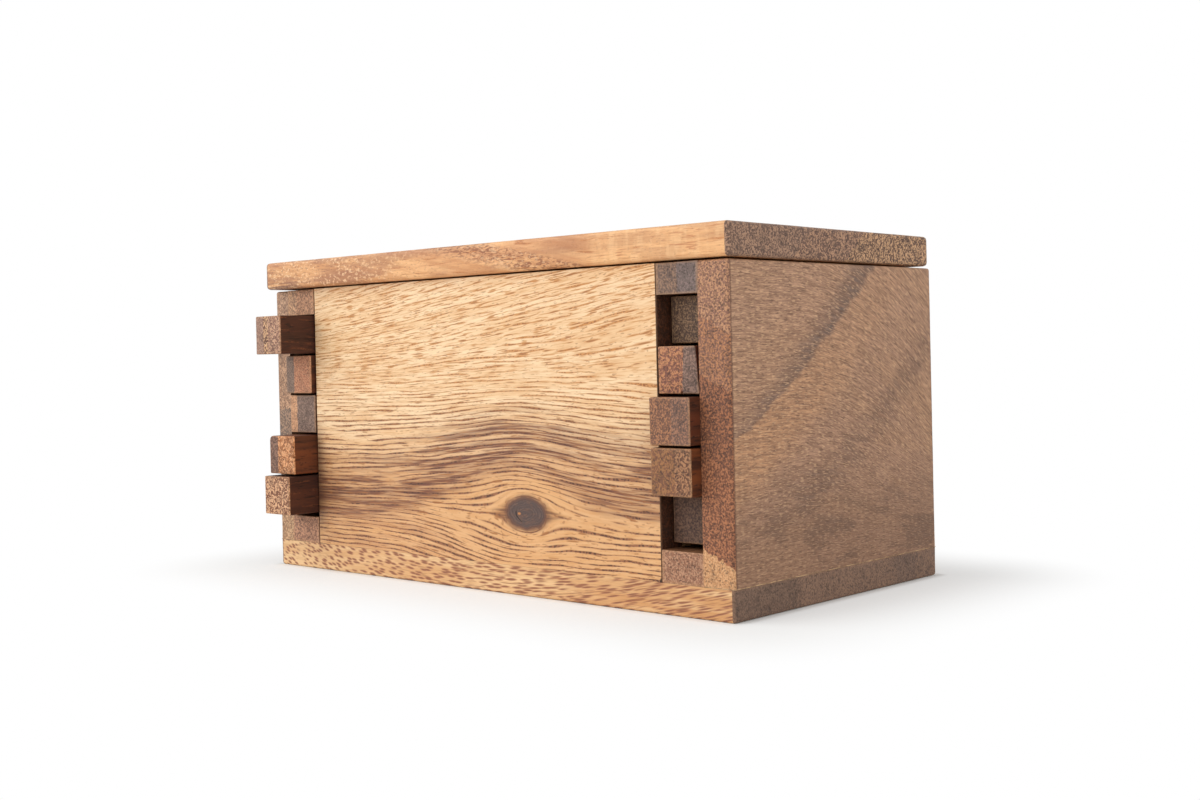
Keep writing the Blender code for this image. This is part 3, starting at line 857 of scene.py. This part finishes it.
def model_board(node, open_sides, radius, sizes, reach=None):
    """Model a board over its solid, reaching into the glue joints where reach says so."""
    low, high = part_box(node)
    for side, distance in (reach or {}).items():
        axis, sign = SIDES[side]
        if sign > 0:
            high[axis] += distance
        else:
            low[axis] -= distance
    board = add_board(node + "_wood", low, high)
    ease_edges(board, low, high, open_sides, radius)
    slice_board(board, low, high, sizes.cell)
    sand(board, low, high, open_sides, sizes)
    return board


def glue_gap():
    """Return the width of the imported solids' glue joints."""
    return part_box("front_panel")[0].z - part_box("base_board")[1].z


def groove_span(low, high, side, sizes):
    """Return where a groove starts and ends along X, cut into a box's left or right side."""
    if side == "right":
        return high.x - sizes.groove_depth, high.x + sizes.overrun
    return low.x - sizes.overrun, low.x + sizes.groove_depth


def upright_way(low, high, side, sizes):
    """Add the cutter of an upright way for the pegs, in the middle of a box's left or right side."""
    first, last = groove_span(low, high, side, sizes)
    half = sizes.peg_way / 2
    return add_board("way", (first, -half, low.z - sizes.overrun), (last, half, high.z + sizes.overrun))


class SECRETBOX_OT_base(bpy.types.Operator):
    """Model the base board with its sanded rim and its end grain"""

    bl_idname = "secretbox.base"
    bl_label = "Base"

    look = EndLook(((0.0, "#6C5446", "#826654", 0.5), (0.28, "#7C6050", "#92725C", 0.5),
                    (0.76, "#70574A", "#866A58", 0.5), (0.88, "#7C6050", "#92725C", 0.5)), axis=1,
                   maze=0.0, shift=5.0, fleck=0.4, ragged=5.0, edge="#A47C60", wear_and_highlight=0.2)

    def execute(self, context):
        sizes = context.scene.secret_box_sizes
        colours = context.scene.secret_box_colours
        board = model_board("base_board", ("left", "right", "front", "back", "bottom"),
                            sizes.body_ease, sizes)
        end = end_grain("sawn_acacia_base", self.look, *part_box("base_board"))
        finish_piece(board, "box", ["base_board"], [base_finish(colours), end], ends=0)
        return {"FINISHED"}


class SECRETBOX_OT_side_panels(bpy.types.Operator):
    """Model the brown boards at both ends and the glue lines under them"""

    bl_idname = "secretbox.side_panels"
    bl_label = "Side panels"

    looks = {
        "left": EndLook(((0.0, "#A98060", "#D8B088", 0.5), (0.09, "#84705E", "#B8957A", 0.5),
                         (0.3, "#7A6658", "#AC8A72", 0.5), (0.52, "#A07A60", "#CBA080", 0.5),
                         (0.75, "#A47E66", "#CEA686", 0.55)), axis=2, ragged=2.0, shift=50.0, maze=0.3),
        "right": EndLook(((0.0, "#C08C60", "#DCAA7C", 0.5), (0.085, "#764A36", "#B07450", 0.5),
                          (0.38, "#6C4636", "#A66C4A", 0.5), (0.62, "#835C4B", "#B67E58", 0.5),
                          (0.8, "#8C6452", "#C08E6A", 0.5)), axis=2, ragged=1.6, tilt=0.5, shift=20.0,
                         maze=0.05, fleck=0.48),
    }
    shifts = {"left": 60.0, "right": 0.0}

    def execute(self, context):
        sizes = context.scene.secret_box_sizes
        colours = context.scene.secret_box_colours
        gap = glue_gap()
        for end in ENDS:
            node = end + "_side_panel"
            board = model_board(node, (end, "front", "back", "top"), sizes.body_ease, sizes,
                                {"bottom": gap - sizes.glue_line, INNER[end]: gap - sizes.tight_joint})
            face = side_panel_finish("planed_acacia_" + node, colours, self.shifts[end])
            tip = end_grain("sawn_acacia_" + node, self.looks[end], *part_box(node))
            finish_piece(board, "box", [node], [face, tip], ends=1)
            self.lay_glue(end, node, sizes, colours)
        return {"FINISHED"}

    def lay_glue(self, end, node, sizes, colours):
        """Lay the line of dried glue that shows under a side panel.

        Wood glue that was pressed out and has dried gives the eye a thin tan line with darker parts.
        """
        low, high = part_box(node)
        low.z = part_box("base_board")[1].z
        high.z = low.z + sizes.glue_line
        inset = Vector((sizes.tight_joint, sizes.tight_joint, 0))
        low, high = low + inset, high - inset
        glue = add_board(end + "_glue_line", low, high)
        slice_board(glue, low, high, sizes.cell / 2)
        sand(glue, low, high, EVERY_SIDE, sizes)
        finish = Finish("dried_wood_glue_" + end, colours.glue, 0.4)
        finish.lay("#8A6A50", 0.8, finish.spots((2.0, 2.0, 2.0), 0.4, 0.6, 3.0))
        finish_piece(glue, "box", [], [finish.done()])


class SECRETBOX_OT_panels(bpy.types.Operator):
    """Model the golden panels at the front and back"""

    bl_idname = "secretbox.panels"
    bl_label = "Front and back panels"

    # The panels' end grain is drawn dark: dark wood, with painted shade where it lines the key channels
    look = EndLook(((0.0, "#381E10", "#5A3420", 0.4),), axis=1, shift=12.0, edge="#7A5638")

    def execute(self, context):
        sizes = context.scene.secret_box_sizes
        colours = context.scene.secret_box_colours
        reach = {"bottom": glue_gap() - sizes.tight_joint}
        front = model_board("front_panel", ("left", "right", "front"), sizes.slot_ease, sizes, reach)
        end = end_grain("sawn_acacia_panel", self.look, *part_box("front_panel"))
        finish_piece(front, "box", ["front_panel"], [front_panel_finish(colours), end],
                     ends=0)
        back = model_board("back_panel", ("left", "right", "back"), sizes.slot_ease, sizes, reach)
        wood = Wood(colours.panel_light, colours.panel_deep, "#A87450", colours.line_soft,
                    "#905A3A", spacing=1.6, run=9.0, fullness=0.55, pith=(0.0, 20.0, -70.0), dash=3.2,
                    dash_share=0.5, streak_width=2.6, streak_share=0.2, shift=140.0)
        finish_piece(back, "box", ["back_panel"],
                     [long_grain("planed_acacia_back", wood, 0), end], ends=0)
        return {"FINISHED"}


class SECRETBOX_OT_rails(bpy.types.Operator):
    """Model the blocks under and over the keys, the upper ones notched for the pegs"""

    bl_idname = "secretbox.rails"
    bl_label = "Rails"

    looks = {
        "left_top_rail": EndLook(((0.0, "#A67E62", "#DCAC84", 0.5), (0.3, "#9E7458", "#D09C78", 0.55)),
                                 maze=0.25, fleck=0.45, shift=3.0),
        "left_bottom_rail": EndLook(((0.0, "#986E58", "#CC9878", 0.48),), maze=0.35, shift=8.0),
        "right_top_rail": EndLook(((0.0, "#6C564C", "#94745E", 0.5), (0.5, "#6E5E58", "#86706A", 0.35)),
                                  shift=13.0, maze=0.1),
        "right_bottom_rail": EndLook(((0.0, "#946850", "#BC8E70", 0.45),), maze=0.1, fleck=0.42,
                                     shift=18.0),
    }

    def execute(self, context):
        sizes = context.scene.secret_box_sizes
        close = glue_gap() - sizes.tight_joint
        for node, look in self.looks.items():
            reach = {"left": close, "right": close}
            if "bottom" in node:
                reach["bottom"] = close
            rail = model_board(node, ("front", "back", "top"), sizes.slot_ease, sizes, reach)
            if "top" in node:
                # The pegs pass a top rail through a notch in its inner side
                end = node.split("_")[0]
                carve(rail, [upright_way(*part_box(node), INNER[end], sizes)])
            wood = Wood("#8A5E40", "#6E4830", "#4E3426", "#9A6A46", "#3E281E", shift=look.shift)
            tip = end_grain("sawn_acacia_" + node, look, *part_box(node))
            finish_piece(rail, "box", [node],
                         [long_grain("planed_acacia_" + node, wood, 1), tip], ends=1)
        return {"FINISHED"}


@dataclass
class KeyLook:
    """The looks of one key: its end, and the two browns of its sides.

    Then come what is planed off or rounded, in millimetres, and its chips.
    """

    end: EndLook
    side: str
    deep: str
    planed: float = 0.0
    rounded: float = 0.0
    chips: tuple = ()


# A planed key is narrower at its upper right, and a rounded one has lost its upper left edge. A chip is
# the place of its middle, from the lower left corner of the front end, and its size
KEY_LOOKS = {
    "left_key_1": KeyLook(EndLook(((0.0, "#94705F", "#B08C78", 0.45), (0.32, "#6C4838", "#DCAE84", 0.6),
                                   (0.5, "#8C6452", "#CA9E80", 0.5)), maze=0.5), "#502A1E", "#3A1C14"),
    "left_key_2": KeyLook(EndLook(((0.0, "#766054", "#967A68", 0.5), (0.33, "#AE7052", "#D09672", 0.5)),
                                  maze=0.1, fleck=0.42), "#6E3820", "#4A2414"),
    "left_key_3": KeyLook(EndLook(((0.0, "#C08C68", "#DCA880", 0.5), (0.28, "#745C50", "#967A6A", 0.5)),
                                  maze=0.1), "#5A3826", "#3C2418"),
    "left_key_4": KeyLook(EndLook(((0.0, "#6C4E42", "#94705C", 0.5), (0.34, "#A4683F", "#E4A676", 0.55)),
                                  maze=0.5, edge="#D08E5C"), "#6E3A1F", "#4A2613", rounded=1.3,
                          chips=(((11.0, 4.9), (0.7, 0.9, 0.8)), ((10.9, 7.4), (0.5, 0.6, 0.4)))),
    "left_key_5": KeyLook(EndLook(((0.0, "#80523A", "#DEAC84", 0.55),), maze=0.8), "#4E2A1C", "#341A14"),
    "right_key_1": KeyLook(EndLook(((0.0, "#5A4438", "#98775A", 0.5),), maze=0.2, fleck=0.42), "#3A241A",
                           "#281812"),
    "right_key_2": KeyLook(EndLook(((0.0, "#845444", "#C0845C", 0.5), (0.62, "#6E564C", "#947566", 0.45)),
                                   maze=0.3, tilt=-0.05), "#5A2A1A", "#3C1C12", planed=0.9,
                           chips=(((6.6, 0.2), (0.5, 1.0, 0.9)),)),
    "right_key_3": KeyLook(EndLook(((0.0, "#745040", "#B07A56", 0.48),
                                    (0.55, "#6E5348", "#A2745A", 0.48)), maze=0.15, fleck=0.45),
                           "#5E2E1A", "#42200F"),
    "right_key_4": KeyLook(EndLook(((0.0, "#7C523C", "#A07048", 0.5), (0.6, "#684432", "#AC7C58", 0.52)),
                                   maze=0.3, fleck=0.45), "#8A4A22", "#542A13"),
    "right_key_5": KeyLook(EndLook(((0.0, "#553E34", "#785A48", 0.5), (0.8, "#4A362C", "#B0906C", 0.55)),
                                   maze=0.15, fleck=0.42), "#3A241A", "#281812"),
}


class SECRETBOX_OT_keys(bpy.types.Operator):
    """Model the ten keys, each with its closed groove and its gate"""

    bl_idname = "secretbox.keys"
    bl_label = "Keys"

    round_segments = 4
    chip_turn = (0.3, 0.2, 0.7)

    def execute(self, context):
        for end in ENDS:
            for number in KEY_NUMBERS:
                self.make_key(f"{end}_key_{number}", end, number, context.scene.secret_box_sizes)
        return {"FINISHED"}

    def make_key(self, node, end, number, sizes):
        """Model one key and finish its ends and its sides."""
        low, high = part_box(node)
        look = KEY_LOOKS[node]
        key = add_board(node + "_wood", low, high)
        self.shape(key, low, high, look, sizes)
        slice_board(key, low, high, sizes.cell)
        sand(key, low, high, EVERY_SIDE, sizes)
        carve(key, self.ways(node, end, low, high, sizes))
        carve(key, [self.chip(low, place, size) for place, size in look.chips])
        shift = 9.0 * number + (0 if end == "left" else 50)
        wood = Wood(look.side, look.deep, "#2A1610", "#6E3E26", "#1E100A", spacing=1.4, run=5.0,
                    fullness=0.3, dash_share=0.35, streak_width=2.5, shift=shift)
        tip = end_grain("sawn_acacia_" + node, replace(look.end, shift=shift), low, high)
        finish_piece(key, node, [node], [long_grain("planed_acacia_" + node, wood, 1), tip],
                     ends=1)

    def shape(self, key, low, high, look, sizes):
        """Plane, round and ease a key's long edges and its ends."""
        bpy.ops.object.mode_set(mode="EDIT")
        if look.planed:
            bpy.ops.mesh.select_all(action="SELECT")
            lean = look.planed * MM / (high.z - low.z)
            bpy.ops.mesh.bisect(plane_co=(high.x, 0, low.z), plane_no=(1, 0, lean), use_fill=True,
                                clear_outer=True)
        if look.rounded:
            select_edges(key, lambda start, end: all(
                {"left", "top"} <= sides_of(point, low, high) for point in (start, end)))
            bpy.ops.mesh.bevel(offset=look.rounded * MM, segments=self.round_segments, affect="EDGES")
        bpy.ops.mesh.select_mode(type="EDGE")
        bpy.ops.mesh.select_all(action="DESELECT")
        bpy.ops.mesh.edges_select_sharp(sharpness=SHARP_ANGLE)
        bpy.ops.mesh.bevel(offset=sizes.key_ease, segments=EDGE_SEGMENTS, affect="EDGES")
        bpy.ops.object.mode_set(mode="OBJECT")

    def chip(self, low, place, size):
        """Add the cutter of a small chip in the edge of a key's front end."""
        half = Vector(size) * MM / 2
        cutter = add_board("chip", -half, half)
        cutter.rotation_euler = self.chip_turn
        cutter.location = (low.x + place[0] * MM, low.y, low.z + place[1] * MM)
        bpy.ops.object.transform_apply(location=True, rotation=True, scale=True)
        return cutter

    def ways(self, node, end, low, high, sizes):
        """Add the cutters of a key's groove, which its peg runs in, and of its gate."""
        half, middle = sizes.peg_way / 2, (low.z + high.z) / 2
        travel = JOINTS[node]["range_m"]
        first, last = groove_span(low, high, INNER[end], sizes)
        groove = add_board("groove", (first, travel[0] - half, middle - half),
                           (last, travel[1] + half, middle + half))
        return [groove, upright_way(low, high, INNER[end], sizes)]


class SECRETBOX_OT_lid(bpy.types.Operator):
    """Model the lid, turned a little, with a mortise for each lock bar"""

    bl_idname = "secretbox.lid"
    bl_label = "Lid"

    twist = math.radians(0.87)
    mortise_depth = 3.0 * MM
    look = EndLook(((0.0, "#6E5346", "#AE886E", 0.52), (0.35, "#6A4E42", "#B88E70", 0.52),
                    (0.6, "#624638", "#CFA27A", 0.52)), axis=1, maze=0.25, tilt=-1.2, ragged=3.0,
                   fleck=0.42, shift=77.0, edge="#A47C5C", wear_and_highlight=0.05)

    def execute(self, context):
        sizes = context.scene.secret_box_sizes
        colours = context.scene.secret_box_colours
        low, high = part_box("lid_board")
        # The solid's box goes round the turned lid, so the lid's own sides are worked out from it
        wide, deep = high.x - low.x, high.y - low.y
        cos, sin = math.cos(self.twist), math.sin(self.twist)
        half = Vector((wide * cos - deep * sin, deep * cos - wide * sin, 0)) / (cos ** 2 - sin ** 2) / 2
        half.z = (high.z - low.z) / 2
        lid = add_board("lid_board_wood", -half, half)
        ease_edges(lid, -half, half, EVERY_SIDE, sizes.lid_ease)
        slice_board(lid, -half, half, sizes.cell)
        sand(lid, -half, half, EVERY_SIDE, sizes)
        lid.rotation_euler.z = self.twist
        lid.location = (low + high) / 2
        bpy.ops.object.transform_apply(location=True, rotation=True, scale=True)
        carve(lid, [self.mortise(end, low.z, sizes) for end in ENDS])
        finish_piece(lid, "lid", ["lid_board"],
                     [lid_finish(colours), end_grain("sawn_acacia_lid", self.look, low, high)], ends=0)
        return {"FINISHED"}

    def mortise(self, end, underside, sizes):
        """Add the cutter of the mortise that a lock bar stands in."""
        low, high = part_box(end + "_lock_bar")
        edge = Vector((glue_gap(), glue_gap(), 0))
        low.z, high.z = underside - sizes.overrun, underside + self.mortise_depth
        return add_board("mortise", low - edge, high + edge)


class SECRETBOX_OT_inner_walls(bpy.types.Operator):
    """Model the walls between the keys and the compartment, grooved for the lock bars"""

    bl_idname = "secretbox.inner_walls"
    bl_label = "Inner walls"

    clearance = 0.4 * MM

    def execute(self, context):
        sizes = context.scene.secret_box_sizes
        colours = context.scene.secret_box_colours
        close = glue_gap() - sizes.tight_joint
        for end in ENDS:
            node = end + "_inner_wall"
            wall = model_board(node, ("top", "left", "right"), sizes.slot_ease, sizes,
                               {"bottom": close, "front": close, "back": close})
            carve(wall, [self.groove(end, node, sizes)])
            wood = Wood(colours.inner_light, colours.inner_deep, "#80583C", "#A87A50", "#5B3C28",
                        fullness=0.4, streak_share=0.3, shift=90.0 if end == "left" else 110.0)
            grain = long_grain("planed_acacia_" + node, wood, 1)
            finish_piece(wall, "box", [node], [grain])
        return {"FINISHED"}

    def groove(self, end, node, sizes):
        """Add the cutter of the upright groove that a lock bar slides in."""
        low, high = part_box(node)
        bar_low, bar_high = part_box(end + "_lock_bar")
        first, last = groove_span(low, high, end, sizes)
        return add_board("groove", (first, bar_low.y - self.clearance, bar_low.z - self.clearance),
                         (last, bar_high.y + self.clearance, high.z + sizes.overrun))


class SECRETBOX_OT_lock(bpy.types.Operator):
    """Model the lock bars and the pegs that reach into the keys"""

    bl_idname = "secretbox.lock"
    bl_label = "Lock bars and pegs"

    peg_radius = 2.0 * MM
    peg_fit = 0.3 * MM
    peg_ease = 0.3 * MM
    peg_facets = 48
    ease_segments = 2

    def execute(self, context):
        sizes = context.scene.secret_box_sizes
        colours = context.scene.secret_box_colours
        for end in ENDS:
            node = end + "_lock_bar"
            low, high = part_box(node)
            bar = add_board(node + "_wood", low, high)
            ease_edges(bar, low, high, EVERY_SIDE, sizes.lock_ease)
            pegs = [f"{end}_lock_peg_{number}" for number in KEY_NUMBERS]
            carve(bar, [self.round_bar(peg, self.peg_radius + self.peg_fit, sizes.overrun, "bore")
                        for peg in pegs])
            wood = Wood(colours.lock_light, colours.lock_deep, "#A87E50", "#B48C5C", "#7A5A3C",
                        spacing=1.3, fullness=0.3, dash_share=0.3, streak_share=0.2, shift=130.0)
            grain = long_grain("planed_beech_lock_" + end, wood, 2)
            finish_piece(bar, "lid", [node], [grain])
            for peg in pegs:
                piece = self.round_bar(peg, self.peg_radius, 0.0, peg + "_wood")
                finish_piece(piece, "lid", [peg], [grain])
        return {"FINISHED"}

    def round_bar(self, peg, radius, overrun, name):
        """Add a round bar along X over a peg's solid, with eased ends unless it is a cutter."""
        low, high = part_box(peg)
        bpy.ops.object.select_all(action="DESELECT")
        length = high.x - low.x + 2 * overrun
        bpy.ops.mesh.primitive_cylinder_add(vertices=self.peg_facets, radius=radius, depth=length,
                                            location=(low + high) / 2, rotation=(0, math.pi / 2, 0))
        bar = bpy.context.object
        bar.name = name
        bar.data.name = name
        bpy.ops.object.transform_apply(location=True, rotation=True, scale=True)
        if not overrun:
            select_edges(bar, lambda start, end: abs(start.x - end.x) < SAME_PLACE)
            bpy.ops.mesh.bevel(offset=self.peg_ease, segments=self.ease_segments, affect="EDGES")
            bpy.ops.object.mode_set(mode="OBJECT")
        return bar


# The lamps' places and widths
LAMPS = {"main": ((-0.75, -0.9, 0.85), 1.3), "fill": ((1.1, -0.5, 0.5), 1.1)}
LAMP_AIM = (0, 0, 0.04)

# The floor is lit paper at the base and plain white away from it. These are its width, half the base's
# length and depth, how far out the first share of white sets in, that share, and where it is all white
FLOOR_WIDTH = 8
FOOTPRINT = (0.0801, 0.0414, 0.0)
TOUCH_REACH = 0.003
FIRST_WHITE = 0.4
SHADOW_REACH = 0.045

CAMERA_PLACE = (0.269773, -0.287701, 0.057448)
CAMERA_YAW = math.radians(42.5789)
CAMERA_PITCH = math.radians(-0.42499)
CAMERA_ROLL = math.radians(-1.31292)
CAMERA_LENS = 44.565
CAMERA_SHIFT = -0.0304


class SECRETBOX_OT_stage(bpy.types.Operator):
    """Set the pale floor, the soft light and the camera"""

    bl_idname = "secretbox.stage"
    bl_label = "Stage"

    def execute(self, context):
        stage = context.scene.secret_box_stage
        self.add_floor()
        self.add_world(stage)
        for name, (place, width) in LAMPS.items():
            self.add_lamp(name + "_lamp", place, width, getattr(stage, name + "_power"))
        self.add_camera()
        context.scene.view_settings.view_transform = "Standard"
        return {"FINISHED"}

    def add_floor(self):
        """Add the floor of matt paper, which gives the eye plain white and the box's soft shadow."""
        bpy.ops.object.select_all(action="DESELECT")
        bpy.ops.mesh.primitive_plane_add(size=FLOOR_WIDTH)
        floor = bpy.context.object
        floor.name = "floor"
        material = bpy.data.materials.new("matt_paper_floor")
        material.use_nodes = True
        tree = material.node_tree
        shader = tree.nodes["Principled BSDF"]
        shader.inputs["Base Color"].default_value = linear("#F4F4F2")
        shader.inputs["Roughness"].default_value = 0.9
        shader.inputs["Specular IOR Level"].default_value = 0.0
        white = add_node(tree, "Emission", linear("#FFFFFF"), 1.0)
        away = add_node(tree, "VectorMath.ABSOLUTE", add_node(tree, "TexCoord").outputs["Object"])
        away = add_node(tree, "VectorMath.SUBTRACT", away, FOOTPRINT)
        away = add_node(tree, "VectorMath.MAXIMUM", away, (0.0, 0.0, 0.0))
        away = add_node(tree, "VectorMath.LENGTH", away)
        touch = add_node(tree, "MapRange.SMOOTHSTEP", away, 0.0, TOUCH_REACH)
        away = add_node(tree, "MapRange.SMOOTHSTEP", away, 0.0, SHADOW_REACH, FIRST_WHITE, 1.0)
        seen = add_node(tree, "LightPath").outputs["Is Camera Ray"]
        share = add_node(tree, "Math.MULTIPLY", away, seen)
        share = add_node(tree, "Math.MULTIPLY", share, touch)
        mixed = add_node(tree, "MixShader", share, shader.outputs[0], white)
        tree.links.new(mixed.outputs[0], tree.nodes["Material Output"].inputs["Surface"])
        floor.data.materials.append(material)

    def add_world(self, stage):
        """Make the surroundings: white where they are seen, dimmer where they only light."""
        world = bpy.data.worlds.new("white_room")
        bpy.context.scene.world = world
        world.use_nodes = True
        tree = world.node_tree
        paths = add_node(tree, "LightPath")
        seen = add_node(tree, "Math.MAXIMUM", paths.outputs["Is Camera Ray"],
                        paths.outputs["Is Glossy Ray"])
        seen = add_node(tree, "Math.MAXIMUM", seen, paths.outputs["Is Transmission Ray"])
        strength = add_node(tree, "MapRange", seen, 0.0, 1.0, stage.ambient, 1.0)
        background = tree.nodes["Background"]
        background.inputs["Color"].default_value = linear("#FFFFFF")
        tree.links.new(strength.outputs[0], background.inputs["Strength"])

    def add_lamp(self, name, place, width, power):
        """Add a square soft lamp that faces the box."""
        data = bpy.data.lights.new(name, "AREA")
        data.size = width
        data.energy = power
        lamp = bpy.data.objects.new(name, data)
        bpy.context.scene.collection.objects.link(lamp)
        lamp.location = place
        aim = Vector(LAMP_AIM) - Vector(place)
        lamp.rotation_euler = aim.to_track_quat("-Z", "Y").to_euler()

    def add_camera(self):
        """Set the camera where the photograph was taken from."""
        data = bpy.data.cameras.new("camera")
        data.lens = CAMERA_LENS
        data.shift_y = CAMERA_SHIFT
        camera = bpy.data.objects.new("camera", data)
        bpy.context.scene.collection.objects.link(camera)
        turn = (Matrix.Rotation(CAMERA_YAW, 4, "Z") @ Matrix.Rotation(math.pi / 2 + CAMERA_PITCH, 4, "X")
                @ Matrix.Rotation(CAMERA_ROLL, 4, "Z"))
        camera.matrix_world = Matrix.Translation(CAMERA_PLACE) @ turn
        bpy.context.scene.camera = camera


GROUPS = {
    "secret_box_sizes": SecretBoxSizes, "secret_box_colours": SecretBoxColours,
    "secret_box_stage": SecretBoxStage,
}
OPERATORS = (
    SECRETBOX_OT_base, SECRETBOX_OT_side_panels, SECRETBOX_OT_panels, SECRETBOX_OT_rails,
    SECRETBOX_OT_keys, SECRETBOX_OT_lid, SECRETBOX_OT_inner_walls, SECRETBOX_OT_lock,
    SECRETBOX_OT_stage,
)


class SECRETBOX_PT_sidebar(bpy.types.Panel):
    """Lists the pieces of the box and the values that shape them"""

    bl_label = "Secret Box"
    bl_idname = "SECRETBOX_PT_sidebar"
    bl_space_type = "VIEW_3D"
    bl_region_type = "UI"
    bl_category = "Secret Box"

    def draw(self, context):
        for operator in OPERATORS:
            self.layout.operator(operator.bl_idname)
        for name, group in GROUPS.items():
            box = self.layout.box()
            for value in group.__annotations__:
                box.prop(getattr(context.scene, name), value)


CLASSES = (*GROUPS.values(), *OPERATORS, SECRETBOX_PT_sidebar)


def register():
    for cls in CLASSES:
        bpy.utils.register_class(cls)
    for name, group in GROUPS.items():
        setattr(bpy.types.Scene, name, PointerProperty(type=group))


def unregister():
    for name in GROUPS:
        delattr(bpy.types.Scene, name)
    for cls in reversed(CLASSES):
        bpy.utils.unregister_class(cls)


def main():
    register()
    bpy.ops.secretbox.stage()
    bpy.ops.secretbox.base()
    bpy.ops.secretbox.side_panels()
    bpy.ops.secretbox.panels()
    bpy.ops.secretbox.rails()
    bpy.ops.secretbox.keys()
    bpy.ops.secretbox.inner_walls()
    bpy.ops.secretbox.lock()
    bpy.ops.secretbox.lid()


if __name__ == "__main__":
    main()
